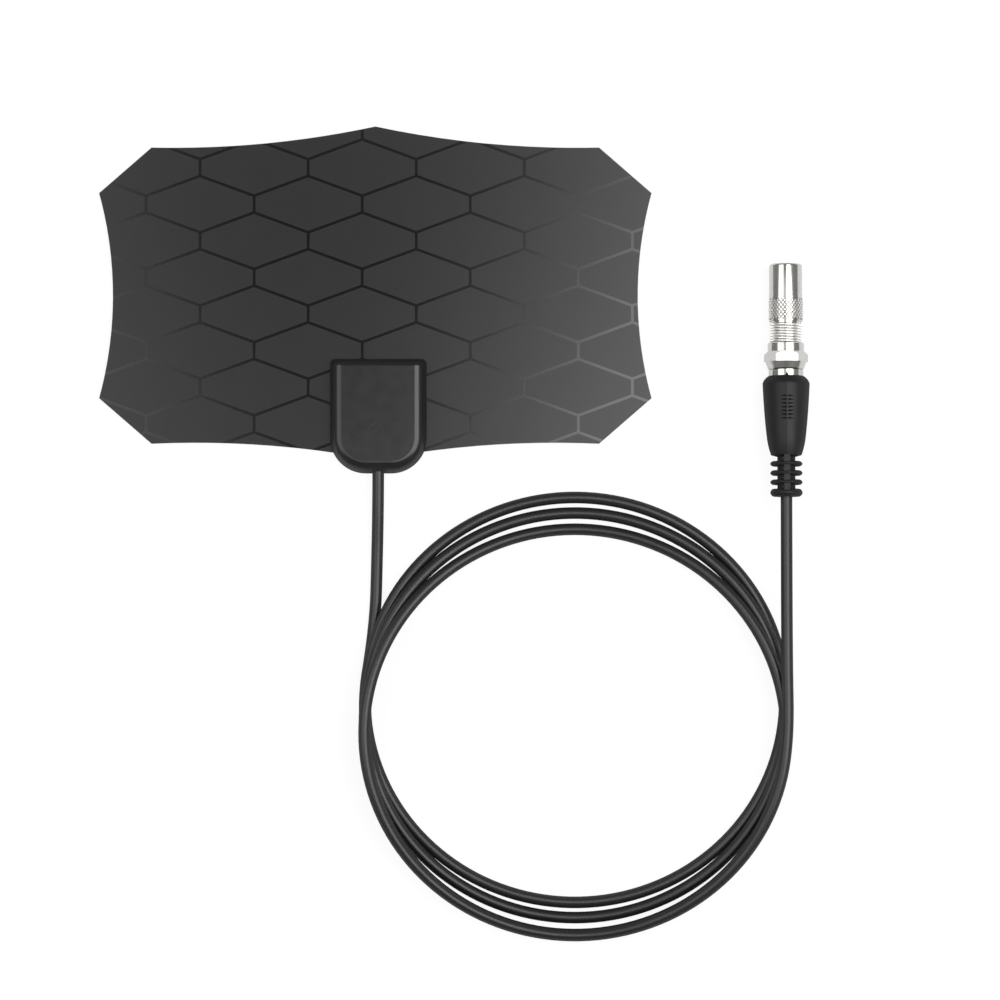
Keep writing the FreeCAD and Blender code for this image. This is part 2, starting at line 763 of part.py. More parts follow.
def placed(shape, placement):
    """Copy of a plug piece at a placement."""
    copy = shape.copy()
    copy.Placement = placement
    return copy


level = plug_placement(tilt, 0)
lowest = min(placed(piece, level).optimalBoundingBox(False).ZMin for piece in (moulding, adapter_body))
lay = plug_placement(tilt, -lowest)


def laid(shape):
    """Copy of a plug piece in its place on the table."""
    return placed(shape, lay)


def on_axis(place):
    """Point of the plug's axis."""
    return lay.multVec(Vec(0, place, 0))


# Cable: a lead from the box down to the table, the coil, and a tail up to the plug
lead_points = [
    jacket_end,
    Vec(box_centre_x, box_bottom_y - 7.0, cable_axis_z),
    Vec(box_centre_x - 0.4, box_bottom_y - 25.0, cable_radius + 0.1),
    Vec(box_centre_x - 0.9, box_bottom_y - 43.0, cable_radius),
]
tail_points = [
    Vec(coil_centre_x + coil_half_width - 0.4, coil_centre_y - 4.0, 12.0),
    on_axis(moulding_end - 48.0),
    on_axis(-body_crimp_length),
]
save("cable_lead", make_cable(lead_points, "lead"))
save("cable_coil", make_coil())
save("cable_tail", make_cable(tail_points, "tail"))

rear_insulator, front_insulator = make_adapter_insulators()
plug_face = body_shoulder_length + nut_lip + 2 * running_clearance + body_flange_length
crimp_rear = -body_crimp_length
cable_socket = turned([(0, moulding_end), (cable_radius, moulding_end), (cable_radius, crimp_rear),
                       (body_crimp_radius, crimp_rear), (body_crimp_radius, 0), (0, 0)])
plug_insulator = turned([(contact_radius, crimp_rear), (body_bore_radius, crimp_rear),
                         (body_bore_radius, plug_face), (contact_radius, plug_face)])
plug_contact = turned([(0, crimp_rear), (contact_radius, crimp_rear),
                       (contact_radius, contact_reach - contact_radius), (0, contact_reach)])
save("plug_moulding", laid(moulding.cut(cable_socket)))
save("plug_body", laid(make_plug_body()))
save("plug_insulator", laid(plug_insulator))
save("plug_contact", laid(plug_contact))
save("coupling_nut", laid(make_nut()))
save("adapter_body", laid(adapter_body))
save("adapter_rear_insulator", laid(rear_insulator))
save("adapter_front_insulator", laid(front_insulator))
save("adapter_pin", laid(make_adapter_pin()))
print("plug tilt", math.degrees(tilt), "axis height", on_axis(0).z)
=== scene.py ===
"""Looks of a flat indoor television antenna: film panel, clip box, coiled lead, plug and adapter.

Sizes in the classes are millimetres, apart from the studio's, and every mesh is scaled to metres
where it is finished. The plug's pieces are drawn about their own axis, with the place along it
counted from the moulding's front face towards the nose, and are then laid on the table with the
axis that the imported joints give.
"""
import json
import logging
import math
from dataclasses import dataclass
from enum import Enum
from functools import cache
from typing import Any, Iterable, Sequence

import bmesh
import bpy
from mathutils import Matrix, Vector


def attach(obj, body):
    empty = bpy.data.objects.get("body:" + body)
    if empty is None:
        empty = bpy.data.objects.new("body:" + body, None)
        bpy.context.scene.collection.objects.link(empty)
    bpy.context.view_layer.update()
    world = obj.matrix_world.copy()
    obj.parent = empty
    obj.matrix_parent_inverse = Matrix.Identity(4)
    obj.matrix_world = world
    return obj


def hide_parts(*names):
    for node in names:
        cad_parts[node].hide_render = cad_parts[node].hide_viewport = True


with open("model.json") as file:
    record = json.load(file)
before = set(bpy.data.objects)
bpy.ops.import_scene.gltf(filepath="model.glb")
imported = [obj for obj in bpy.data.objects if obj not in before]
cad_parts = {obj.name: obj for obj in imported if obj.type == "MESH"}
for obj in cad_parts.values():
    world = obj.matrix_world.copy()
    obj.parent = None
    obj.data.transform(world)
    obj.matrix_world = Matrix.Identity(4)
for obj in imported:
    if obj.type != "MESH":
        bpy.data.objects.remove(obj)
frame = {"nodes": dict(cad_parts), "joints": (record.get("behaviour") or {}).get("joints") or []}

logging.basicConfig(level=logging.INFO, format="%(message)s")
LOG = logging.getLogger("antenna")

MM = 0.001
Point = tuple[float, float, float]
Profile = list[tuple[float, float]]
FLOAT, INTEGER, MATERIAL = "NodeSocketFloat", "NodeSocketInt", "NodeSocketMaterial"
# Attribute of a rolled thread or knurl: 0 in its grooves and 1 on its crests
RISE = "rise"
# Sockets of a Mix node, whose names are the same for each kind of value
FACTOR, FIRST_NUMBER, SECOND_NUMBER = 0, 2, 3
FIRST_COLOUR, SECOND_COLOUR, MIXED_COLOUR = 6, 7, 2
# Steps of a thread's helix in a turn, sides of its ridge, and sides of a knurl's stud
HELIX_STEPS, RIDGE_SIDES, STUD_SIDES = 72, 10, 4
# Radius of the core that keeps a turned cutter's section off its axis
CORE = 0.01


class Body(Enum):
    """Bodies that the pieces ride on."""

    ANTENNA = "antenna"
    NUT = "coupling_nut"
    ADAPTER = "adapter"


class Face(Enum):
    """Faces of the plug's grip with grooves, and the turn about its axis that leads to them."""

    UP = 0.0
    DOWN = math.pi


class Cut(Enum):
    """Ways in which one mesh works on another."""

    JOIN = "UNION"
    TAKE = "DIFFERENCE"


def linear(colour: str) -> tuple[float, float, float, float]:
    """Turn an sRGB hex colour into a linear one.

    Args:
        colour: Six hex digits after a hash.

    Returns:
        Red, green, blue and alpha for a shader's socket.
    """
    channels = [int(colour[place:place + 2], 16) / 255 for place in (1, 3, 5)]
    curve = [c / 12.92 if c <= 0.04045 else ((c + 0.055) / 1.055) ** 2.4 for c in channels]
    return curve[0], curve[1], curve[2], 1.0


def add_node(tree: bpy.types.NodeTree, kind: str, inputs: dict[Any, Any] | None = None,
             **settings: Any) -> bpy.types.Node:
    """Add a node to a tree with its settings and links.

    Args:
        tree: Shader or geometry tree.
        kind: The node's type.
        inputs: Name or index of a socket, with the value it holds, or the socket or node that
            feeds it.
        settings: Properties of the node.

    Returns:
        The new node.
    """
    node = tree.nodes.new(kind)
    for name, value in settings.items():
        setattr(node, name, value)
    for key, value in (inputs or {}).items():
        if isinstance(value, bpy.types.Node):
            value = value.outputs[0]
        if isinstance(value, bpy.types.NodeSocket):
            tree.links.new(value, node.inputs[key])
        else:
            node.inputs[key].default_value = value
    return node


def new_material(name: str) -> tuple[bpy.types.Material, bpy.types.NodeTree]:
    """Start a material with an empty tree.

    Args:
        name: Common name of the real material.

    Returns:
        The material and its tree.
    """
    material = bpy.data.materials.new(name)
    material.use_nodes = True
    material.node_tree.nodes.clear()
    return material, material.node_tree


@dataclass(frozen=True, kw_only=True)
class Finish:
    """Surface with a clouded colour and a fine relief, both at the real surface's scale."""

    name: str
    colour: str
    cloud_colour: str
    cloud_size: float
    cloud_detail: float = 3.0
    roughness: float
    relief_depth: float

    @cache
    def material(self) -> bpy.types.Material:
        """Make the material once, for all the pieces that have this finish.

        Returns:
            The material.
        """
        material, tree = new_material(self.name)
        self.draw(tree, add_node(tree, "ShaderNodeTexCoord").outputs["Object"])
        return material

    def draw(self, tree: bpy.types.NodeTree, place: bpy.types.NodeSocket) -> None:
        """Draw the surface, which each kind of finish does in its own way."""
        raise NotImplementedError

    def clouded(self, tree: bpy.types.NodeTree, place: bpy.types.NodeSocket
                ) -> tuple[bpy.types.Node, bpy.types.NodeSocket]:
        """Mix the two colours in soft clouds.

        Args:
            tree: The material's tree.
            place: Coordinates on the piece.

        Returns:
            The clouds and their colour.
        """
        cloud = add_node(tree, "ShaderNodeTexNoise", {
            "Vector": place, "Scale": 1 / (self.cloud_size * MM), "Detail": self.cloud_detail})
        colour = add_node(tree, "ShaderNodeMix", {
            FACTOR: cloud, FIRST_COLOUR: linear(self.colour),
            SECOND_COLOUR: linear(self.cloud_colour)}, data_type="RGBA")
        return cloud, colour.outputs[MIXED_COLOUR]

    def varied(self, tree: bpy.types.NodeTree, cloud: bpy.types.Node,
               spread: float) -> bpy.types.Node:
        """Let the roughness vary with the clouds.

        Args:
            tree: The material's tree.
            cloud: The clouds.
            spread: Most that the roughness varies to each side.

        Returns:
            The node with the roughness.
        """
        return add_node(tree, "ShaderNodeMapRange", {
            "Value": cloud, "To Min": self.roughness - spread, "To Max": self.roughness + spread})

    def shade(self, tree: bpy.types.NodeTree, relief: bpy.types.Node,
              inputs: dict[str, Any]) -> None:
        """Close the tree with the relief and the shader.

        Args:
            tree: The material's tree.
            relief: Height of the relief, as a share of its depth.
            inputs: The shader's other inputs.
        """
        bump = add_node(tree, "ShaderNodeBump", {
            "Height": relief, "Distance": self.relief_depth * MM, "Strength": 1.0})
        shader = add_node(tree, "ShaderNodeBsdfPrincipled", {"Normal": bump, **inputs})
        add_node(tree, "ShaderNodeOutputMaterial", {0: shader})


@dataclass(frozen=True, kw_only=True)
class PrintedFilm(Finish):
    """Matte polyester film with an embossed pattern of glossy lines between raised tiles.

    The tiles scatter light evenly and look dark grey. The lines are smooth and deep black, so they
    go lighter than the tiles only where they mirror a lamp.
    """

    ior: float
    tile_shine: float
    grain_size: float
    grain_detail: float = 2.0
    line_colour: str
    line_roughness: float
    line_shine: float
    line_top: float

    def draw(self, tree: bpy.types.NodeTree, place: bpy.types.NodeSocket) -> None:
        """Draw tiles and lines, which differ in height.

        Args:
            tree: The material's tree.
            place: Coordinates on the piece.
        """
        _, matte = self.clouded(tree, place)
        height = add_node(tree, "ShaderNodeSeparateXYZ", {0: place}).outputs["Z"]
        tile = add_node(tree, "ShaderNodeMath", {0: height, 1: self.line_top * MM},
                        operation="GREATER_THAN")
        colour = add_node(tree, "ShaderNodeMix", {
            FACTOR: tile, FIRST_COLOUR: linear(self.line_colour), SECOND_COLOUR: matte},
            data_type="RGBA")
        roughness = add_node(tree, "ShaderNodeMapRange", {
            "Value": tile, "To Min": self.line_roughness, "To Max": self.roughness})
        shine = add_node(tree, "ShaderNodeMapRange", {
            "Value": tile, "To Min": self.line_shine, "To Max": self.tile_shine})
        grain = add_node(tree, "ShaderNodeTexNoise", {
            "Vector": place, "Scale": 1 / (self.grain_size * MM), "Detail": self.grain_detail})
        tooth = add_node(tree, "ShaderNodeMath", {0: grain, 1: tile}, operation="MULTIPLY")
        self.shade(tree, tooth, {
            "Base Color": colour.outputs[MIXED_COLOUR], "Roughness": roughness, "IOR": self.ior,
            "Specular IOR Level": shine})


@dataclass(frozen=True, kw_only=True)
class Scuffs:
    """Patch of pale rubbed marks, long and narrow and all askew in one direction."""

    colour: str
    place: Point
    reach: float = 6.0
    length: float = 6.0
    width: float = 0.16
    turn: float = -48.0
    detail: float = 2.0
    faint: float = 0.6
    clear: float = 0.78
    share: float = 0.2

    def over(self, tree: bpy.types.NodeTree, place: bpy.types.NodeSocket,
             plain: bpy.types.NodeSocket) -> bpy.types.NodeSocket:
        """Lay the marks over a colour.

        Args:
            tree: The material's tree.
            place: Coordinates on the piece.
            plain: Colour without marks.

        Returns:
            The marked colour.
        """
        turned = add_node(tree, "ShaderNodeMapping", {
            "Vector": place, "Rotation": (0, 0, math.radians(self.turn))})
        stretch = Vector((1 / self.length, 1 / self.width, 1 / self.width)) / MM
        drawn = add_node(tree, "ShaderNodeMapping", {"Vector": turned, "Scale": stretch})
        marks = add_node(tree, "ShaderNodeTexNoise", {
            "Vector": drawn, "Scale": 1.0, "Detail": self.detail})
        away = add_node(tree, "ShaderNodeVectorMath", {0: place, 1: Vector(self.place) * MM},
                        operation="DISTANCE").outputs["Value"]
        patch = add_node(tree, "ShaderNodeMapRange", {
            "Value": away, "From Max": self.reach * MM, "To Min": self.share, "To Max": 0.0})
        share = add_node(tree, "ShaderNodeMapRange", {
            "Value": marks, "From Min": self.faint, "From Max": self.clear, "To Max": patch})
        marked = add_node(tree, "ShaderNodeMix", {
            FACTOR: share, FIRST_COLOUR: plain, SECOND_COLOUR: linear(self.colour)},
            data_type="RGBA")
        return marked.outputs[MIXED_COLOUR]


@dataclass(frozen=True, kw_only=True)
class Plastic(Finish):
    """Moulded or extruded plastic: a fine grain, a sheen that varies, and duller walls on some."""

    cloud_detail: float = 4.0
    roughness_spread: float
    grain_size: float
    grain_detail: float = 2.0
    ior: float = 1.5
    wall_roughness: float = 0.0
    wall_facing: float = 0.2
    scuffs: Scuffs | None = None

    def draw(self, tree: bpy.types.NodeTree, place: bpy.types.NodeSocket) -> None:
        """Draw the plastic, with its rubbed marks where it has them.

        Args:
            tree: The material's tree.
            place: Coordinates on the piece.
        """
        cloud, colour = self.clouded(tree, place)
        if self.scuffs:
            colour = self.scuffs.over(tree, place, colour)
        roughness = self.varied(tree, cloud, self.roughness_spread)
        if self.wall_roughness:
            facing = add_node(tree, "ShaderNodeTexCoord").outputs["Normal"]
            up = add_node(tree, "ShaderNodeSeparateXYZ", {0: facing}).outputs["Z"]
            roughness = add_node(tree, "ShaderNodeMapRange", {
                "Value": up, "From Min": self.wall_facing, "To Min": self.wall_roughness,
                "To Max": roughness})
        grain = add_node(tree, "ShaderNodeTexNoise", {
            "Vector": place, "Scale": 1 / (self.grain_size * MM), "Detail": self.grain_detail})
        self.shade(tree, grain, {"Base Color": colour, "Roughness": roughness, "IOR": self.ior})


@dataclass(frozen=True, kw_only=True)
class Metal(Finish):
    """Bare or plated metal: fine turning lines across the plug's axis, and a faint tarnish."""

    roughness_spread: float
    line_pitch: float
    line_length: float = 50.0
    line_detail: float = 1.0
    groove_shade_colour: str = ""
    groove_shade_reach: float = 0.6

    def draw(self, tree: bpy.types.NodeTree, place: bpy.types.NodeSocket) -> None:
        """Draw the metal, with painted shade darkening the grooves of what is rolled.

        Args:
            tree: The material's tree.
            place: Coordinates on the piece.
        """
        cloud, colour = self.clouded(tree, place)
        # Painted shade: the colour darkens towards the shade colour in the rolled grooves and fades
        # out towards the crests
        if self.groove_shade_colour:
            rise = add_node(tree, "ShaderNodeAttribute", attribute_name=RISE).outputs["Fac"]
            unshaded = add_node(tree, "ShaderNodeMapRange", {
                "Value": rise, "From Max": self.groove_shade_reach})
            colour = add_node(tree, "ShaderNodeMix", {
                FACTOR: unshaded, FIRST_COLOUR: linear(self.groove_shade_colour), SECOND_COLOUR: colour},
                data_type="RGBA").outputs[MIXED_COLOUR]
        stretch = Vector((1 / self.line_length, 1 / self.line_pitch, 1 / self.line_length)) / MM
        drawn = add_node(tree, "ShaderNodeMapping", {"Vector": place, "Scale": stretch})
        lines = add_node(tree, "ShaderNodeTexNoise", {
            "Vector": drawn, "Scale": 1.0, "Detail": self.line_detail})
        self.shade(tree, lines, {
            "Base Color": colour, "Roughness": self.varied(tree, cloud, self.roughness_spread),
            "Metallic": 1.0})


# Polyester film: matte and even, with smooth embossed lines on the front, and plain on the back
FRONT_FILM = PrintedFilm(
    name="matte_polyester_film", colour="#191919", cloud_colour="#1e1e1e", cloud_size=9.0,
    roughness=0.2, ior=1.39, tile_shine=0.5, grain_size=0.12, relief_depth=0.0005,
    line_colour="#0a0a0a", line_roughness=0.12, line_shine=0.825, line_top=1.97)
REAR_FILM = Plastic(
    name="plain_polyester_film", colour="#242424", cloud_colour="#292929", cloud_size=9.0,
    roughness=0.4, roughness_spread=0.04, grain_size=0.12, relief_depth=0.002)
# ABS from a finely eroded mould: satin black, soft light along its edges, faint rubbed marks. Its
# grain is drawn a little coarser than the real one, to show at all
BOX_PLASTIC = Plastic(
    name="moulded_abs", colour="#101010", cloud_colour="#141414", cloud_size=3.0,
    roughness=0.2, roughness_spread=0.03, grain_size=0.35, relief_depth=0.005, ior=1.41,
    wall_roughness=0.8, scuffs=Scuffs(colour="#707070", place=(-2.2, -37.0, 8.0)))
# Extruded PVC: smooth and slightly oily, so that a narrow streak of light runs along it
JACKET = Plastic(
    name="extruded_pvc", colour="#0c0c0c", cloud_colour="#101010", cloud_size=1.6,
    roughness=0.34, roughness_spread=0.04, grain_size=0.2, relief_depth=0.003, ior=1.45,
    wall_roughness=0.9)
# Moulded PVC: duller than the lead, with the mould's fine grain
GRIP_PLASTIC = Plastic(
    name="moulded_pvc", colour="#0c0c0c", cloud_colour="#101010", cloud_size=2.0,
    roughness=0.46, roughness_spread=0.05, grain_size=0.16, relief_depth=0.005, ior=1.34,
    wall_roughness=0.8)
# Glass epoxy, sintered ferrite and polyethylene, which only show when the part is taken apart: a
# green with small clouds, a dull dark grey, and a waxy white
BOARD_PLASTIC = Plastic(
    name="glass_epoxy_board", colour="#2c5a38", cloud_colour="#34663f", cloud_size=1.0,
    roughness=0.4, roughness_spread=0.05, grain_size=0.3, relief_depth=0.005)
FERRITE = Plastic(
    name="sintered_ferrite", colour="#2a2a2c", cloud_colour="#333336", cloud_size=0.6,
    roughness=0.6, roughness_spread=0.05, grain_size=0.1, relief_depth=0.01)
INSULATION = Plastic(
    name="polyethylene", colour="#e4e4de", cloud_colour="#ecece6", cloud_size=1.5,
    roughness=0.35, roughness_spread=0.05, grain_size=0.3, relief_depth=0.003)
# Bright nickel plate over turned brass: mirrors the lamps in streaks along the axis
NICKEL = Metal(
    name="nickel_plate", colour="#b4b3b0", cloud_colour="#a9a7a3", cloud_size=2.5,
    roughness=0.16, roughness_spread=0.03, line_pitch=0.15, relief_depth=0.0006)
# The same plate on rolled studs and ridges, whose many small faces scatter the light,
# # with painted shade darkening the grooves between them
ROLLED_NICKEL = Metal(
    name="rolled_nickel_plate", colour="#eeedea", cloud_colour="#e4e2de", cloud_size=2.5,
    roughness=0.34, roughness_spread=0.04, line_pitch=0.15, relief_depth=0.0006,
    groove_shade_colour="#4a4947")
# Inside: bare brass, warm and a little dull; pale aluminium foil; tinned copper braid, blotched by
# its strands
BRASS = Metal(
    name="turned_brass", colour="#c8a765", cloud_colour="#b89553", cloud_size=1.5,
    roughness=0.25, roughness_spread=0.04, line_pitch=0.2, relief_depth=0.001)
FOIL = Metal(
    name="aluminium_foil", colour="#d4d4d4", cloud_colour="#c6c6c6", cloud_size=4.0,
    roughness=0.3, roughness_spread=0.05, line_pitch=0.3, relief_depth=0.001)
BRAID = Metal(
    name="tinned_braid", colour="#b9b8b4", cloud_colour="#8f8e8a", cloud_size=0.4,
    roughness=0.35, roughness_spread=0.05, line_pitch=0.2, line_length=0.4, relief_depth=0.01)


def closed_mesh(name: str, rings: Sequence[Sequence[Point]], looped: bool) -> bpy.types.Mesh:
    """Skin over a row of rings of points.

    Args:
        name: Name of the mesh.
        rings: Closed rings, all of one length.
        looped: Whether the last ring joins the first; otherwise both ends are capped.

    Returns:
        The mesh, in the rings' units, with its faces outwards.
    """
    mesh = bmesh.new()
    rows = [[mesh.verts.new(point) for point in ring] for ring in rings]
    pairs = zip(rows, rows[1:] + rows[:1]) if looped else zip(rows, rows[1:])
    for row, following in pairs:
        for a in range(len(row)):
            b = (a + 1) % len(row)
            mesh.faces.new((row[a], row[b], following[b], following[a]))
    if not looped:
        mesh.faces.new(rows[0])
        mesh.faces.new(rows[-1])
    bmesh.ops.recalc_face_normals(mesh, faces=mesh.faces)
    data = bpy.data.meshes.new(name)
    mesh.to_mesh(data)
    mesh.free()
    return data


def turned_mesh(name: str, sections: Sequence[Profile]) -> bpy.types.Mesh:
    """Closed solid about local +Y from its section at even angles, the first one upwards.

    Args:
        name: Name of the mesh.
        sections: Closed loop of (radius, place) points at each angle, all of one length.

    Returns:
        The mesh, in millimetres.
    """
    rings = []
    for index, section in enumerate(sections):
        angle = 2 * math.pi * index / len(sections)
        rings.append([(radius * math.sin(angle), place, radius * math.cos(angle))
                      for radius, place in section])
    return closed_mesh(name, rings, looped=True)


def bar_mesh(name: str, low: Point, high: Point) -> bpy.types.Mesh:
    """Upright bar between two corners.

    Args:
        name: Name of the mesh.
        low: Lowest corner.
        high: Highest corner.

    Returns:
        The mesh, in the corners' units.
    """
    outline = [(low[0], low[1]), (high[0], low[1]), (high[0], high[1]), (low[0], high[1])]
    rings = [[(x, y, z) for x, y in outline] for z in (low[2], high[2])]
    return closed_mesh(name, rings, looped=False)


def arc_points(start: tuple[float, float], end: tuple[float, float], bow: float,
               count: int) -> Profile:
    """Points of a shallow arc of a profile after its start, bowed to the left of its run.

    Args:
        start: Radius and place of the first end.
        end: Radius and place of the second end.
        bow: Height of the arc over its chord.
        count: Number of spans.

    Returns:
        The points after start, up to and with end.
    """
    first, last = Vector(start), Vector(end)
    run = last - first
    outward = Vector((-run.y, run.x)).normalized()
    points = []
    for step in range(1, count + 1):
        share = step / count
        point = first + run * share + outward * (4 * bow * share * (1 - share))
        points.append((point.x, point.y))
    return points


def linked(name: str, data: bpy.types.ID) -> bpy.types.Object:
    """Make an object and link it to the scene.

    Args:
        name: Name of the object.
        data: Its mesh, curve, lamp or camera.

    Returns:
        The object.
    """
    piece = bpy.data.objects.new(name, data)
    bpy.context.scene.collection.objects.link(piece)
    return piece


def evaluated_mesh(piece: bpy.types.Object) -> bpy.types.Mesh:
    """Turn an object with modifiers into a plain mesh.

    Args:
        piece: The object, which is removed.

    Returns:
        Its mesh with the modifiers applied.
    """
    graph = bpy.context.evaluated_depsgraph_get()
    mesh = bpy.data.meshes.new_from_object(piece.evaluated_get(graph), depsgraph=graph)
    bpy.data.objects.remove(piece)
    return mesh


def grown(name: str, tree: bpy.types.NodeTree, values: dict[str, Any]) -> bpy.types.Mesh:
    """Mesh that a geometry tree makes from nothing.

    Args:
        name: Name of the mesh.
        tree: Geometry tree.
        values: Name and value of each input.

    Returns:
        The realised mesh.
    """
    piece = linked(name, bpy.data.meshes.new(name))
    modifier = piece.modifiers.new(name, "NODES")
    modifier.node_group = tree
    for item in tree.interface.items_tree:
        if item.in_out == "INPUT":
            modifier[item.identifier] = values[item.name]
    mesh = evaluated_mesh(piece)
    mesh.name = name
    return mesh


def geometry_tree(name: str, sizes: dict[str, str]) -> tuple[bpy.types.NodeTree, Any]:
    """Start a geometry tree with named inputs.

    Args:
        name: Name of the tree.
        sizes: Name and socket type of each input.

    Returns:
        The tree and the sockets that give its inputs.
    """
    tree = bpy.data.node_groups.new(name, "GeometryNodeTree")
    tree.interface.new_socket("Geometry", in_out="OUTPUT", socket_type="NodeSocketGeometry")
    for size, kind in sizes.items():
        tree.interface.new_socket(size, in_out="INPUT", socket_type=kind)
    return tree, add_node(tree, "NodeGroupInput").outputs


def close_tree(tree: bpy.types.NodeTree, geometry: bpy.types.Node,
               material: bpy.types.NodeSocket) -> None:
    """End a geometry tree: realise the instances and set their material.

    Args:
        tree: Geometry tree.
        geometry: Node that gives the shape.
        material: Input that gives the material.
    """
    real = add_node(tree, "GeometryNodeRealizeInstances", {0: geometry})
    dressed = add_node(tree, "GeometryNodeSetMaterial", {"Geometry": real, "Material": material})
    add_node(tree, "NodeGroupOutput", {0: dressed})


def thread_tree() -> bpy.types.NodeTree:
    """Screw thread: a rounded ridge on a helix about +Y.

    Returns:
        The geometry tree.
    """
    tree, given = geometry_tree("screw_thread", {
        "Ridge Line Radius": FLOAT, "Ridge": FLOAT, "Start": FLOAT, "Length": FLOAT,
        "Turns": FLOAT, "Material": MATERIAL})
    middle = given["Ridge Line Radius"]
    helix = add_node(tree, "GeometryNodeCurveSpiral", {
        "Resolution": HELIX_STEPS, "Rotations": given["Turns"], "Start Radius": middle,
        "End Radius": middle, "Height": given["Length"]})
    upright = add_node(tree, "GeometryNodeSetCurveNormal", {0: helix}, mode="Z_UP")
    section = add_node(tree, "GeometryNodeCurvePrimitiveCircle", {
        "Resolution": RIDGE_SIDES, "Radius": given["Ridge"]})
    ridge = add_node(tree, "GeometryNodeCurveToMesh", {
        "Curve": upright, "Profile Curve": section, "Fill Caps": True})
    start = add_node(tree, "ShaderNodeCombineXYZ", {"Y": given["Start"]})
    laid = add_node(tree, "GeometryNodeTransform", {
        "Geometry": ridge, "Translation": start, "Rotation": (-math.pi / 2, 0, 0)})
    position = add_node(tree, "GeometryNodeInputPosition")
    outward = add_node(tree, "ShaderNodeVectorMath", {0: position, 1: (1, 0, 1)},
                       operation="MULTIPLY")
    radius = add_node(tree, "ShaderNodeVectorMath", {0: outward}, operation="LENGTH")
    crest = add_node(tree, "ShaderNodeMath", {0: middle, 1: given["Ridge"]}, operation="ADD")
    rise = add_node(tree, "ShaderNodeMapRange", {
        "Value": radius.outputs["Value"], "From Min": middle, "From Max": crest})
    marked = add_node(tree, "GeometryNodeStoreNamedAttribute", {
        0: laid, "Name": RISE, "Value": rise}, data_type="FLOAT", domain="POINT")
    close_tree(tree, marked, given["Material"])
    return tree


def knurl_tree() -> bpy.types.NodeTree:
    """Diamond knurl: blunt four-sided studs in rings about +Y, each ring turned by half a stud.

    Returns:
        The geometry tree.
    """
    tree, given = geometry_tree("diamond_knurl", {
        "Radius": FLOAT, "Start": FLOAT, "Length": FLOAT, "Columns": INTEGER, "Rows": INTEGER,
        "Height": FLOAT, "Blunt": FLOAT, "Material": MATERIAL})
    index = add_node(tree, "GeometryNodeInputIndex")
    step = add_node(tree, "ShaderNodeMath", {0: 2 * math.pi, 1: given["Columns"]},
                    operation="DIVIDE")
    half_step = add_node(tree, "ShaderNodeMath", {0: step, 1: 0.5}, operation="MULTIPLY")
    half_width = add_node(tree, "ShaderNodeMath", {0: half_step, 1: given["Radius"]},
                          operation="MULTIPLY")
    spaces = add_node(tree, "ShaderNodeMath", {0: given["Rows"], 1: 1.0}, operation="ADD")
    pitch = add_node(tree, "ShaderNodeMath", {0: given["Length"], 1: spaces}, operation="DIVIDE")
    first = add_node(tree, "ShaderNodeMath", {0: given["Start"], 1: pitch}, operation="ADD")
    cone = add_node(tree, "GeometryNodeMeshCone", {
        "Vertices": STUD_SIDES, "Radius Top": given["Blunt"], "Radius Bottom": 1.0, "Depth": 1.0})
    position = add_node(tree, "GeometryNodeInputPosition")
    rise = add_node(tree, "ShaderNodeSeparateXYZ", {0: position}).outputs["Z"]
    marked = add_node(tree, "GeometryNodeStoreNamedAttribute", {
        0: cone.outputs["Mesh"], "Name": RISE, "Value": rise}, data_type="FLOAT", domain="POINT")
    size = add_node(tree, "ShaderNodeCombineXYZ", {
        "X": half_width, "Y": pitch, "Z": given["Height"]})
    lift = add_node(tree, "ShaderNodeCombineXYZ", {"Z": given["Radius"]})
    stud = add_node(tree, "GeometryNodeTransform", {
        "Geometry": marked, "Translation": lift, "Scale": size})
    around = add_node(tree, "ShaderNodeMath", {0: index, 1: step}, operation="MULTIPLY")
    turn = add_node(tree, "ShaderNodeCombineXYZ", {"Y": around})
    middle = add_node(tree, "GeometryNodePoints", {"Count": given["Columns"]})
    ring = add_node(tree, "GeometryNodeInstanceOnPoints", {
        "Points": middle, "Instance": stud, "Rotation": turn})
    stagger = add_node(tree, "ShaderNodeMath", {0: index, 1: half_step}, operation="MULTIPLY")
    shift = add_node(tree, "ShaderNodeCombineXYZ", {"Y": stagger})
    first_ring = add_node(tree, "ShaderNodeCombineXYZ", {"Y": first})
    next_ring = add_node(tree, "ShaderNodeCombineXYZ", {"Y": pitch})
    line = add_node(tree, "GeometryNodeMeshLine", {
        "Count": given["Rows"], "Start Location": first_ring, "Offset": next_ring})
    rings = add_node(tree, "GeometryNodeInstanceOnPoints", {
        "Points": line, "Instance": ring, "Rotation": shift})
    close_tree(tree, rings, given["Material"])
    return tree


def bar_row_tree() -> bpy.types.NodeTree:
    """Row of equal square bars along -Y, each on its edge, with those edges at the origin's level.

    Returns:
        The geometry tree.
    """
    tree, given = geometry_tree("bar_row", {
        "Count": INTEGER, "Pitch": FLOAT, "Length": FLOAT, "Side": FLOAT, "Material": MATERIAL})
    back = add_node(tree, "ShaderNodeMath", {0: given["Pitch"], 1: -1.0}, operation="MULTIPLY")
    middle = add_node(tree, "ShaderNodeMath", {0: given["Side"], 1: math.sqrt(0.5)},
                      operation="MULTIPLY")
    first = add_node(tree, "ShaderNodeCombineXYZ", {"Z": middle})
    step = add_node(tree, "ShaderNodeCombineXYZ", {"Y": back})
    line = add_node(tree, "GeometryNodeMeshLine", {
        "Count": given["Count"], "Start Location": first, "Offset": step})
    size = add_node(tree, "ShaderNodeCombineXYZ", {
        "X": given["Length"], "Y": given["Side"], "Z": given["Side"]})
    bar = add_node(tree, "GeometryNodeMeshCube", {"Size": size})
    bars = add_node(tree, "GeometryNodeInstanceOnPoints", {
        "Points": line, "Instance": bar, "Rotation": (math.pi / 4, 0, 0)})
    close_tree(tree, bars, given["Material"])
    return tree


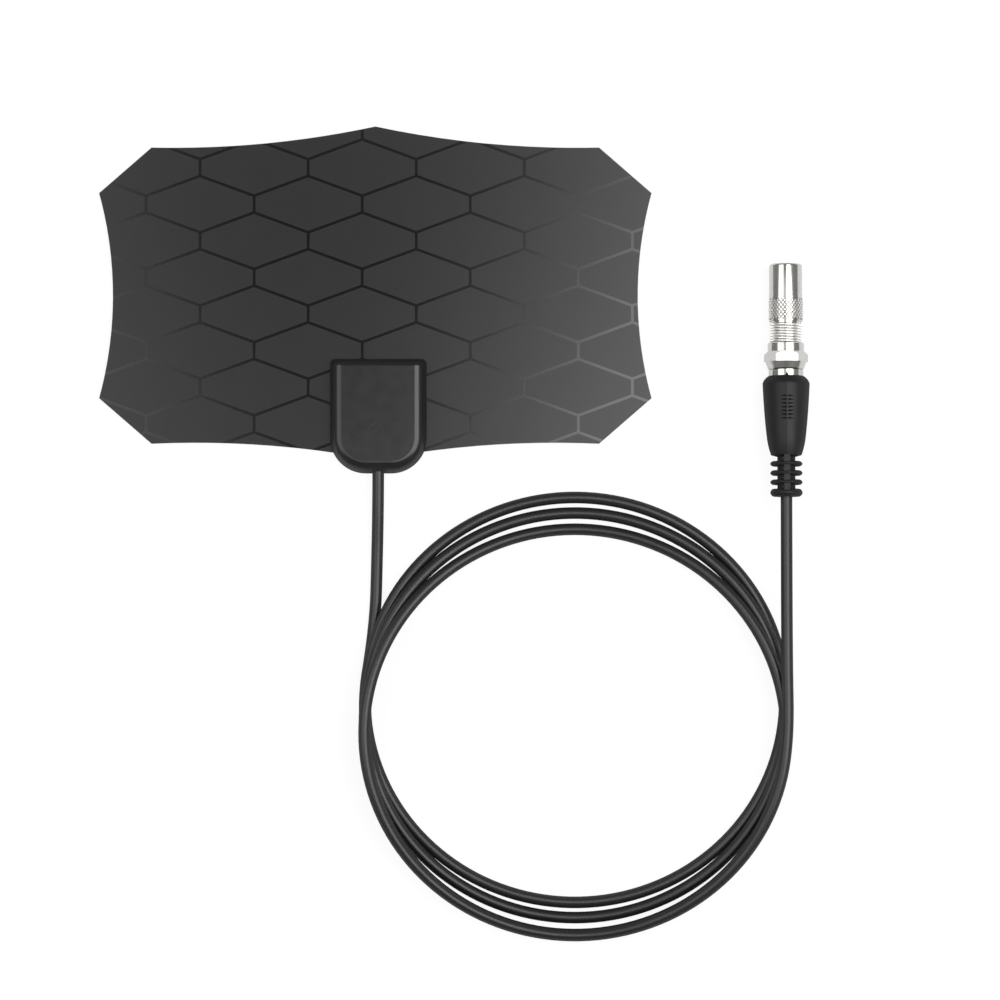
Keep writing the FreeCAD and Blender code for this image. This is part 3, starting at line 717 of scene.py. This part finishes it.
def smooth(mesh: bpy.types.Mesh, crease: float) -> bpy.types.Mesh:
    """Shade a mesh smooth, apart from its sharp edges.

    Args:
        mesh: The mesh.
        crease: Angle in degrees from which an edge is sharp.

    Returns:
        The same mesh.
    """
    mesh.shade_smooth()
    mesh.set_sharp_from_angle(angle=math.radians(crease))
    return mesh


def worked(blank: bpy.types.Mesh, tools: Iterable[tuple[bpy.types.Mesh, Cut]]) -> bpy.types.Mesh:
    """Join tools to a blank or take them from it.

    Args:
        blank: Mesh to work on.
        tools: Meshes, each with the way in which it works.

    Returns:
        The worked mesh.
    """
    piece = linked("blank", blank)
    cutters = []
    for tool, cut in tools:
        cutter = linked("cutter", tool)
        cutters.append(cutter)
        modifier = piece.modifiers.new(cut.value, "BOOLEAN")
        modifier.operation = cut.value
        modifier.solver = "EXACT"
        modifier.object = cutter
    mesh = evaluated_mesh(piece)
    for cutter in cutters:
        bpy.data.objects.remove(cutter)
    return mesh


def settle(name: str, mesh: bpy.types.Mesh, finish: Finish, body: Body, place: Matrix,
           replaced: Sequence[str] = ()) -> bpy.types.Object:
    """Finish a piece: scale it to metres, put it in its place, dress it and let it ride.

    Args:
        name: Name of the piece.
        mesh: Its mesh, in millimetres.
        finish: Its finish.
        body: Body that it moves with.
        place: Where its own frame lies, in metres.
        replaced: Nodes that it stands for.

    Returns:
        The piece.
    """
    mesh.transform(place @ Matrix.Scale(MM, 4))
    mesh.name = name
    mesh.materials.clear()
    mesh.materials.append(finish.material())
    piece = linked(name, mesh)
    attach(piece, body.value)
    if replaced:
        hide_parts(*replaced)
    LOG.info("%s: %d faces on %s", name, len(mesh.polygons), body.value)
    return piece


def dress(finishes: dict[Finish, Sequence[str]]) -> list[bpy.types.Object]:
    """Give nodes of the frame their finishes.

    Args:
        finishes: Finishes, each with the names of the nodes that have it.

    Returns:
        The nodes' objects.
    """
    pieces = []
    for finish, nodes in finishes.items():
        for node in nodes:
            piece = frame["nodes"][node]
            piece.data.materials.clear()
            piece.data.materials.append(finish.material())
            pieces.append(piece)
            LOG.info("%s: dressed with %s", node, finish.name)
    return pieces


@dataclass(frozen=True)
class FilmPanel:
    """Front and rear film with the foils between them."""

    front: Finish = FRONT_FILM
    rear: Finish = REAR_FILM
    foil: Finish = FOIL

    def dress(self) -> None:
        """Give the films and foils their finishes."""
        dress({self.front: ["front_film"], self.rear: ["rear_film"],
               self.foil: ["foil_radiator_left", "foil_radiator_right"]})


@dataclass(frozen=True)
class ClipBox:
    """Moulded box over the middle of the panel's lower edge, and what it holds."""

    shell: Finish = BOX_PLASTIC
    board: Finish = BOARD_PLASTIC
    core: Finish = FERRITE
    wire: Finish = BRASS
    braid: Finish = BRAID
    dielectric: Finish = INSULATION

    def dress(self) -> None:
        """Give the covers, the board's parts and the cable's stripped end their finishes."""
        dress({self.shell: ["box_front_cover", "box_rear_cover"], self.board: ["matching_board"],
               self.core: ["transformer_core"],
               self.wire: ["feed_eyelet_left", "feed_eyelet_right", "transformer_winding",
                           "cable_wire"],
               self.braid: ["cable_braid", "cable_stop_ring"],
               self.dielectric: ["cable_dielectric"]})


@dataclass(frozen=True)
class PlugAxis:
    """Line that plug, nut and adapter share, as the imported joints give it."""

    hinge_place: float = 5.0

    def matrix(self) -> Matrix:
        """Find the place of the plug's own frame.

        Returns:
            Its matrix in metres: local +Y runs along the axis towards the nose.
        """
        joints = {joint["name"]: joint for joint in frame["joints"]}
        along = Vector(joints["adapter_unscrew"]["axis"]).normalized()
        front = Vector(joints["nut_turn"]["pos_m"]) - along * self.hinge_place * MM
        tilt = math.atan2(along.z, along.y)
        return Matrix.Translation(front) @ Matrix.Rotation(tilt, 4, "X")

    def point(self, place: float) -> Vector:
        """Point of the axis at a place in millimetres, in metres."""
        return self.matrix() @ Vector((0, place * MM, 0))


@dataclass(frozen=True)
class CoaxLead:
    """Thin coaxial lead: out of the box, round a loose coil of three and a half turns, to the plug.

    The coil starts at its left side and runs anticlockwise. Bottoms and tops say how far each half
    turn reaches from the coil's centre, down and up the table.
    """

    axis: PlugAxis
    jacket: Finish = JACKET
    diameter: float = 3.4
    length: float = 1490.0
    exit: Point = (0.9, -50.25, 3.9)
    route: tuple[Point, ...] = (
        (0.9, -43.45, 3.9), (0.9, -57.25, 3.9), (0.5, -75.25, 1.8), (0.0, -93.25, 1.7))
    centre: tuple[float, float] = (57.8, -120.6)
    half_width: float = 60.8
    half_height: float = 58.6
    bottoms: tuple[float, ...] = (53.9, 58.3, 63.2, 63.2)
    tops: tuple[float, ...] = (63.4, 58.9, 54.2)
    turn_points: int = 24
    shift_hold: float = 0.3
    layer: float = 1.02
    tail_places: tuple[float, ...] = (-82.76, -40.0, -12.0)
    round_steps: int = 6
    span_steps: int = 6

    def halves(self) -> int:
        """Number of half turns."""
        return len(self.bottoms) + len(self.tops)

    def height(self, half_turn: int, degrees: float) -> float:
        """Height of the lead's middle over the table in the coil.

        Args:
            half_turn: Number of half turns since the coil's start.
            degrees: Angle around the coil, anticlockwise from the right.

        Returns:
            Millimetres: low at the coil's ends, and a layer up for each turn below at its sides.
        """
        stack = math.cos(math.radians(degrees)) ** 2
        past_end = (degrees % 180) >= 90
        layers = half_turn // 2 + (half_turn % 2 if past_end else 0)
        lift = layers * self.layer * self.diameter
        # The last half turn lies on the one below it all the way
        if half_turn == self.halves() - 1:
            return 1.5 * self.diameter + (lift - self.diameter) * stack
        return 0.5 * self.diameter + lift * stack

    def shift(self, along: float) -> float:
        """How far the middle of a loose turn lies up the table from the coil's.

        Args:
            along: Half turns since the coil's start, with a fraction.

        Returns:
            Millimetres: steady over the coil's ends, and passing from turn to turn at its sides.
        """
        ends = []
        for half_turn in range(self.halves()):
            low = half_turn % 2 == 0
            reach = self.bottoms[half_turn // 2] if low else self.tops[half_turn // 2]
            ends.append(self.half_height - reach if low else reach - self.half_height)
        place = min(max(along - 0.5, 0.0), len(ends) - 1.0)
        before = min(int(place), len(ends) - 2)
        share = (place - before - self.shift_hold) / (1 - 2 * self.shift_hold)
        share = min(max(share, 0.0), 1.0)
        return ends[before] + (ends[before + 1] - ends[before]) * share * share * (3 - 2 * share)

    def coil(self) -> list[Point]:
        """Lay out the coil's turns.

        Returns:
            Control points, spread a little, because the smooth curve runs inside them.
        """
        swell = 1 / (0.75 + 0.25 * math.cos(2 * math.pi / self.turn_points))
        step = 360 / self.turn_points
        points = []
        for index in range(self.halves() * self.turn_points // 2 + 1):
            along = index * step / 180
            half_turn = min(int(along), self.halves() - 1)
            degrees = 180 + index * step
            angle = math.radians(degrees)
            middle = self.centre[1] + self.shift(along)
            points.append((self.centre[0] + swell * self.half_width * math.cos(angle),
                           middle + swell * self.half_height * math.sin(angle),
                           self.height(half_turn, degrees)))
        return points

    def build(self, with_pieces: Sequence[bpy.types.Object]) -> None:
        """Make the lead as one smooth curve.

        Args:
            with_pieces: Pieces on its far end; not used.
        """
        line = [Vector(point) * MM for point in [*self.route, *self.coil()]]
        line += [self.axis.point(place) for place in self.tail_places]
        curve = bpy.data.curves.new("coax_lead", "CURVE")
        curve.dimensions = "3D"
        curve.bevel_depth = self.diameter / 2 * MM
        curve.bevel_resolution = self.round_steps
        curve.resolution_u = self.span_steps
        curve.use_fill_caps = True
        spline = curve.splines.new("NURBS")
        spline.points.add(len(line) - 1)
        for point, place in zip(spline.points, line):
            point.co = (*place, 1.0)
        spline.order_u = 3
        spline.use_endpoint_u = True
        curve.materials.append(self.jacket.material())
        lead = linked("coax_lead", curve)
        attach(lead, Body.ANTENNA.value)
        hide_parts("cable_lead", "cable_coil", "cable_tail")
        LOG.info("coax_lead: %d points", len(line))


@dataclass(frozen=True)
class ScrewPlug:
    """Moulded grip with its ribbed strain relief, and the metal body in it."""

    axis: PlugAxis
    moulding: Finish = GRIP_PLASTIC
    body: Finish = NICKEL
    insulator: Finish = INSULATION
    contact: Finish = BRASS
    front_radius: float = 5.1
    radius: float = 6.8
    shoulder: float = 2.1
    shoulder_bow: float = 0.25
    shoulder_spans: int = 10
    waist_radius: float = 5.6
    waist: float = 17.9
    flank_bow: float = 0.15
    flank_spans: int = 24
    neck_radius: float = 4.4
    neck_lip: float = 0.5
    neck_bow: float = 0.15
    neck_spans: int = 12
    length: float = 23.35
    valley_radius: float = 2.6
    foot_radius: float = 4.1
    gap: float = 1.3
    rib_radius: float = 4.65
    rib_width: float = 1.37
    rib_count: int = 3
    rib_spans: int = 10
    end_ring: float = 2.1
    end_radius: float = 3.9
    spine_width: float = 1.7
    spine_radius: float = 4.4
    groove_count: int = 7
    groove_pitch: float = 1.07
    groove_side: float = 0.9
    groove_depth: float = 0.17
    grip_width: float = 4.1
    grip_seam: float = 0.5
    grip_start: float = 5.9
    cable_radius: float = 1.7
    crimp_radius: float = 3.3
    crimp_length: float = 12.0
    seam_height: float = 0.07
    flash_length: float = 1.1
    flash_flank: float = 0.4
    flash_radius: float = 5.08
    around: int = 128
    crease: float = 32.0

    def rear(self) -> float:
        """Place of the rear end."""
        gaps = (self.rib_count + 1) * self.gap
        return -self.length - gaps - self.rib_count * self.rib_width - self.end_ring

    def profile(self) -> Profile:
        """Draw the moulding's section.

        Returns:
            Closed loop from the bore's front edge round the outside and back inside.
        """
        points = [(self.crimp_radius, 0.0), (self.front_radius, 0.0)]
        neck = self.neck_lip - self.length
        for end, bow, spans in (
                ((self.radius, -self.shoulder), self.shoulder_bow, self.shoulder_spans),
                ((self.waist_radius, -self.waist), self.flank_bow, self.flank_spans),
                ((self.neck_radius, neck), self.neck_bow, self.neck_spans)):
            points += arc_points(points[-1], end, bow, spans)
        place = -self.length
        for index in range(self.rib_count + 1):
            last = index == self.rib_count
            points.append((self.valley_radius, place))
            place -= self.gap
            points += [(self.valley_radius, place), (self.foot_radius, place)]
            place -= self.end_ring if last else self.rib_width
            fall = self.end_radius if last else self.foot_radius
            bow = self.rib_radius - (self.foot_radius + fall) / 2
            points += arc_points(points[-1], (fall, place), bow, self.rib_spans)
        points += [(self.cable_radius, place), (self.cable_radius, -self.crimp_length),
                   (self.crimp_radius, -self.crimp_length)]
        return points

    def sections(self) -> list[Profile]:
        """Add the mould's parting line along top and bottom, and a bit of flash at its front.

        Returns:
            The sections around the axis, the first one upwards.
        """
        plain = self.profile()
        seam = []
        for radius, place in plain:
            outside = place > -self.length and radius >= self.neck_radius
            seam.append((radius + self.seam_height if outside else radius, place))
        rings = [plain] * self.around
        rings[self.around // 2] = seam
        flank = self.flash_flank
        for index, section, share in ((-1, plain, flank), (0, seam, 1.0), (1, plain, flank)):
            flash = (self.flash_radius, share * self.flash_length)
            rings[index] = [section[0], flash, *section[2:]]
        return rings

    def grooves(self, face: Face, side: int) -> bpy.types.Mesh:
        """Make the cutters of the grip's grooves on one side of the parting line.

        Args:
            face: Face of the grip.
            side: -1 for the left and 1 for the right of the line.

        Returns:
            The cutters, as one mesh.
        """
        taper = (self.radius - self.waist_radius) / (self.waist - self.shoulder)
        first = self.grip_start + self.groove_depth
        bed = self.radius - taper * (first - self.shoulder) - self.groove_depth
        width = (self.grip_width - self.grip_seam) / 2
        mesh = grown("grip_grooves", bar_row_tree(), {
            "Count": self.groove_count, "Pitch": self.groove_pitch, "Length": width,
            "Side": self.groove_side, "Material": None})
        middle = Matrix.Translation((side * (self.grip_seam + width) / 2, -first, bed))
        lean = Matrix.Rotation(math.atan(taper), 4, "X")
        mesh.transform(Matrix.Rotation(face.value, 4, "Y") @ middle @ lean)
        return mesh

    def build(self) -> list[bpy.types.Object]:
        """Make the moulding and dress what it holds.

        Returns:
            The plug's pieces.
        """
        half = self.spine_width / 2
        spine = bar_mesh("spine", (-half, self.rear() + self.end_ring / 2, -self.spine_radius),
                         (half, self.neck_lip - self.length, self.spine_radius))
        hole = [(CORE, self.rear()), (self.cable_radius, self.rear()),
                (self.cable_radius, -self.length), (CORE, -self.length)]
        tools = [(spine, Cut.JOIN), (turned_mesh("bore", [hole] * self.around), Cut.TAKE)]
        tools += [(self.grooves(face, side), Cut.TAKE) for face in Face for side in (-1, 1)]
        grip = smooth(worked(turned_mesh("grip", self.sections()), tools), self.crease)
        piece = settle("plug_grip", grip, self.moulding, Body.ANTENNA,
                       self.axis.matrix(), ["plug_moulding"])
        return [piece, *dress({self.body: ["plug_body"], self.insulator: ["plug_insulator"],
                               self.contact: ["plug_contact"]})]


@dataclass(frozen=True)
class CouplingNut:
    """Conical skirt, hexagon chamfered in front, and collar, which turn on the plug's body."""

    axis: PlugAxis
    plate: Finish = NICKEL
    rear: float = 1.81
    skirt_radius: float = 5.2
    skirt_front_radius: float = 5.95
    skirt_length: float = 2.3
    skirt_chamfer: float = 0.35
    flats: int = 6
    flat_spans: int = 16
    across_flats: float = 11.0
    hex_length: float = 2.9
    bevel: float = 0.9
    length: float = 7.84
    collar_radius: float = 5.25
    collar_chamfer: float = 0.3
    bore_radius: float = 4.78
    lip: float = 0.95
    lip_radius: float = 3.91
    crease: float = 20.0

    def section(self, degrees: float) -> Profile:
        """Draw the nut's section at an angle.

        Args:
            degrees: Angle from the middle of one of the flats.

        Returns:
            Closed loop from the rear lip round the outside and back through the bore.
        """
        flat = 360 / self.flats
        off_middle = (degrees + flat / 2) % flat - flat / 2
        reach = self.across_flats / 2 / math.cos(math.radians(off_middle))
        shoulder = self.across_flats / math.sqrt(3) - self.bevel
        rise = reach - shoulder
        hex_rear = self.rear + self.skirt_length
        hex_front = hex_rear + self.hex_length
        front = self.rear + self.length
        lip_front = self.rear + self.lip
        return [(self.lip_radius, self.rear), (self.skirt_radius - self.skirt_chamfer, self.rear),
                (self.skirt_radius, self.rear + self.skirt_chamfer),
                (self.skirt_front_radius, hex_rear), (reach, hex_rear), (reach, hex_front - rise),
                (shoulder, hex_front), (self.collar_radius, hex_front),
                (self.collar_radius, front - self.collar_chamfer),
                (self.collar_radius - self.collar_chamfer, front), (self.bore_radius, front),
                (self.bore_radius, lip_front), (self.lip_radius, lip_front)]

    def build(self) -> bpy.types.Object:
        """Make the nut.

        Returns:
            The nut's piece.
        """
        count = self.flats * self.flat_spans
        mesh = turned_mesh("nut", [self.section(360 * index / count) for index in range(count)])
        return settle("nut_hexagon", smooth(mesh, self.crease), self.plate, Body.NUT,
                      self.axis.matrix(), ["coupling_nut"])


@dataclass(frozen=True)
class AerialAdapter:
    """Screw stub, knurled grip and plain barrel of the aerial plug."""

    axis: PlugAxis
    plate: Finish = NICKEL
    rolled_plate: Finish = ROLLED_NICKEL
    insulator: Finish = INSULATION
    stub_start: float = 4.7
    stub_end: float = 15.85
    stub_radius: float = 4.7
    stub_bore: float = 3.4
    stub_lead_in: float = 0.3
    thread_pitch: float = 0.79375
    thread_ridge: float = 0.4
    thread_root: float = 4.3
    thread_crease: float = 60.0
    knurl_end: float = 22.7
    knurl_radius: float = 4.95
    knurl_height: float = 0.3
    knurl_blunt: float = 0.5
    knurl_columns: int = 28
    knurl_rows: int = 8
    knurl_margin: float = 0.3
    knurl_sunk: float = 0.05
    rim_radius: float = 4.85
    barrel_radius: float = 4.75
    barrel_end: float = 32.45
    barrel_bore: float = 4.1
    barrel_depth: float = 9.0
    tip_radius: float = 0.6
    tip_spans: int = 8
    neck_radius: float = 2.9
    rear_insulator: float = 7.0
    around: int = 128
    crease: float = 40.0

    def profile(self) -> Profile:
        """Draw the turned body's section.

        Returns:
            Closed loop from the stub's bore round the nose and back.
        """
        base = self.knurl_radius - self.knurl_height
        ring = self.barrel_radius - self.tip_radius
        tip = self.barrel_end - self.tip_radius
        barrel_floor = self.barrel_end - self.barrel_depth
        stub_floor = self.stub_start + self.rear_insulator
        low = self.stub_end + self.knurl_margin
        high = self.knurl_end - self.knurl_margin
        points = [(self.stub_bore, self.stub_start),
                  (self.thread_root - self.stub_lead_in, self.stub_start),
                  (self.thread_root, self.stub_start + self.stub_lead_in),
                  (self.thread_root, self.stub_end), (self.rim_radius, self.stub_end),
                  (self.rim_radius, low), (base, low), (base, high), (self.rim_radius, high),
                  (self.rim_radius, self.knurl_end), (self.barrel_radius, self.knurl_end)]
        for step in range(self.tip_spans + 1):
            angle = math.pi / 2 * step / self.tip_spans
            points.append((ring + self.tip_radius * math.cos(angle),
                           tip + self.tip_radius * math.sin(angle)))
        points += [(self.barrel_bore, self.barrel_end), (self.barrel_bore, barrel_floor),
                   (self.neck_radius, barrel_floor), (self.neck_radius, stub_floor),
                   (self.stub_bore, stub_floor)]
        return points

    def thread(self) -> bpy.types.Mesh:
        """Make the ridge of the screw stub.

        Returns:
            Its mesh.
        """
        length = self.stub_end - self.stub_start - 2 * self.thread_ridge
        ridge = grown("adapter_thread", thread_tree(), {
            "Ridge Line Radius": self.stub_radius - self.thread_ridge, "Ridge": self.thread_ridge,
            "Start": self.stub_start + self.thread_ridge, "Length": length,
            "Turns": length / self.thread_pitch, "Material": self.rolled_plate.material()})
        return smooth(ridge, self.thread_crease)

    def knurl(self) -> bpy.types.Mesh:
        """Make the studs of the grip.

        Returns:
            Their mesh.
        """
        return grown("adapter_knurl", knurl_tree(), {
            "Radius": self.knurl_radius - self.knurl_height - self.knurl_sunk,
            "Start": self.stub_end + self.knurl_margin,
            "Length": self.knurl_end - self.stub_end - 2 * self.knurl_margin,
            "Columns": self.knurl_columns, "Rows": self.knurl_rows,
            "Height": self.knurl_height + self.knurl_sunk, "Blunt": self.knurl_blunt,
            "Material": self.rolled_plate.material()})

    def build(self) -> list[bpy.types.Object]:
        """Make the turned body, its thread and its knurl, and dress what it holds.

        Returns:
            The adapter's pieces.
        """
        place = self.axis.matrix()
        body = smooth(turned_mesh("adapter", [self.profile()] * self.around), self.crease)
        shapes = (("adapter_barrel", body, self.plate, ["adapter_body"]),
                  ("adapter_thread", self.thread(), self.rolled_plate, []),
                  ("adapter_knurl", self.knurl(), self.rolled_plate, []))
        pieces = [settle(name, mesh, finish, Body.ADAPTER, place, replaced)
                  for name, mesh, finish, replaced in shapes]
        return pieces + dress({
            self.insulator: ["adapter_rear_insulator", "adapter_front_insulator"],
            self.plate: ["adapter_pin"]})


@dataclass(frozen=True)
class Softbox:
    """Rectangular lamp that hangs level over the table, in metres and degrees."""

    name: str
    place: tuple[float, float]
    size: tuple[float, float]
    turn: float
    radiance: float
    height: float = 1.2

    def build(self) -> None:
        """Hang the lamp, with the power that gives its face the radiance."""
        lamp = bpy.data.lights.new(self.name, "AREA")
        lamp.shape = "RECTANGLE"
        lamp.size, lamp.size_y = self.size
        lamp.energy = self.radiance * math.pi * self.size[0] * self.size[1]
        piece = linked(self.name, lamp)
        piece.location = (*self.place, self.height)
        piece.rotation_euler = (0, 0, math.radians(self.turn))
        piece.visible_camera = False


@dataclass(frozen=True)
class Studio:
    """Pale table, soft lamps and a camera straight above.

    The view and the sensor are in millimetres, the table and the camera's far limit in metres.
    """

    view_centre: tuple[float, float] = (36.11, -57.93)
    view_width: float = 290.0
    view_height: float = 1500.0
    sensor: float = 36.0
    far: float = 50.0
    floor_size: float = 6.0
    floor_colour: str = "#fafafa"
    floor_glow: float = 0.9
    wall: float = 0.38
    wall_top: float = 0.8
    ceiling: float = 0.02
    ceiling_edge: float = 0.97
    lamps: tuple[Softbox, ...] = (
        Softbox("softbox_right", (0.741, -0.080), (1.3, 0.9), turn=-21.0, radiance=5.3),
        Softbox("softbox_right_rim", (0.113, 0.161), (0.045, 0.9), turn=-21.0, radiance=1.6),
        Softbox("softbox_left", (-0.921, 0.03), (1.35, 1.1), turn=20.0, radiance=2.6),
        Softbox("softbox_left_rim", (-0.259, 0.271), (0.06, 1.1), turn=20.0, radiance=1.6),
        Softbox("softbox_low", (-0.05, -0.215), (0.22, 0.25), turn=0.0, radiance=1.1),
        Softbox("softbox_high", (-0.03, 0.225), (0.3, 0.11), turn=0.0, radiance=1.6))

    def camera(self) -> None:
        """Put the camera over the middle of the photograph's frame."""
        camera = bpy.data.cameras.new("camera")
        camera.sensor_width = self.sensor
        camera.lens = self.sensor * self.view_height / self.view_width
        camera.clip_end = self.far
        piece = linked("camera", camera)
        across, up = self.view_centre
        piece.location = (across * MM, up * MM, self.view_height * MM)
        bpy.context.scene.camera = piece

    def floor(self) -> None:
        """Lay the table: pale, near white to the eye, with the object's shadow on it."""
        material, tree = new_material("pale_table")
        seen = add_node(tree, "ShaderNodeLightPath").outputs["Is Camera Ray"]
        share = add_node(tree, "ShaderNodeMath", {0: seen, 1: self.floor_glow},
                         operation="MULTIPLY")
        matte = add_node(tree, "ShaderNodeBsdfDiffuse", {"Color": linear(self.floor_colour)})
        glow = add_node(tree, "ShaderNodeEmission", {"Color": (1, 1, 1, 1), "Strength": 1.0})
        surface = add_node(tree, "ShaderNodeMixShader", {0: share, 1: matte, 2: glow})
        add_node(tree, "ShaderNodeOutputMaterial", {0: surface})
        half = self.floor_size / 2
        mesh = bpy.data.meshes.new("table")
        corners = [(-half, -half, 0), (half, -half, 0), (half, half, 0), (-half, half, 0)]
        mesh.from_pydata(corners, [], [(0, 1, 2, 3)])
        mesh.materials.append(material)
        linked("table", mesh)

    def walls(self) -> None:
        """Light the room dimly from its walls, under a dark ceiling; the camera sees white."""
        world = bpy.data.worlds.new("studio")
        bpy.context.scene.world = world
        world.use_nodes = True
        tree = world.node_tree
        tree.nodes.clear()
        way = add_node(tree, "ShaderNodeTexCoord").outputs["Generated"]
        up = add_node(tree, "ShaderNodeSeparateXYZ", {0: way}).outputs["Z"]
        room = add_node(tree, "ShaderNodeMapRange", {
            "Value": up, "From Min": self.wall_top, "From Max": self.ceiling_edge,
            "To Min": self.wall, "To Max": self.ceiling})
        seen = add_node(tree, "ShaderNodeLightPath").outputs["Is Camera Ray"]
        strength = add_node(tree, "ShaderNodeMix", {
            FACTOR: seen, FIRST_NUMBER: room, SECOND_NUMBER: 1.0}, data_type="FLOAT")
        light = add_node(tree, "ShaderNodeBackground", {
            "Color": (1, 1, 1, 1), "Strength": strength})
        add_node(tree, "ShaderNodeOutputWorld", {0: light})

    def build(self) -> None:
        """Set up camera, table, walls and lamps."""
        bpy.context.scene.view_settings.view_transform = "Standard"
        self.camera()
        self.floor()
        self.walls()
        for lamp in self.lamps:
            lamp.build()


def main() -> None:
    """Build the pieces in order."""
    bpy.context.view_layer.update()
    axis = PlugAxis()
    Studio().build()
    FilmPanel().dress()
    ClipBox().dress()
    on_lead = [*ScrewPlug(axis).build(), CouplingNut(axis).build(), *AerialAdapter(axis).build()]
    CoaxLead(axis).build(on_lead)
    LOG.info("boxes written")


if __name__ == "__main__":
    main()
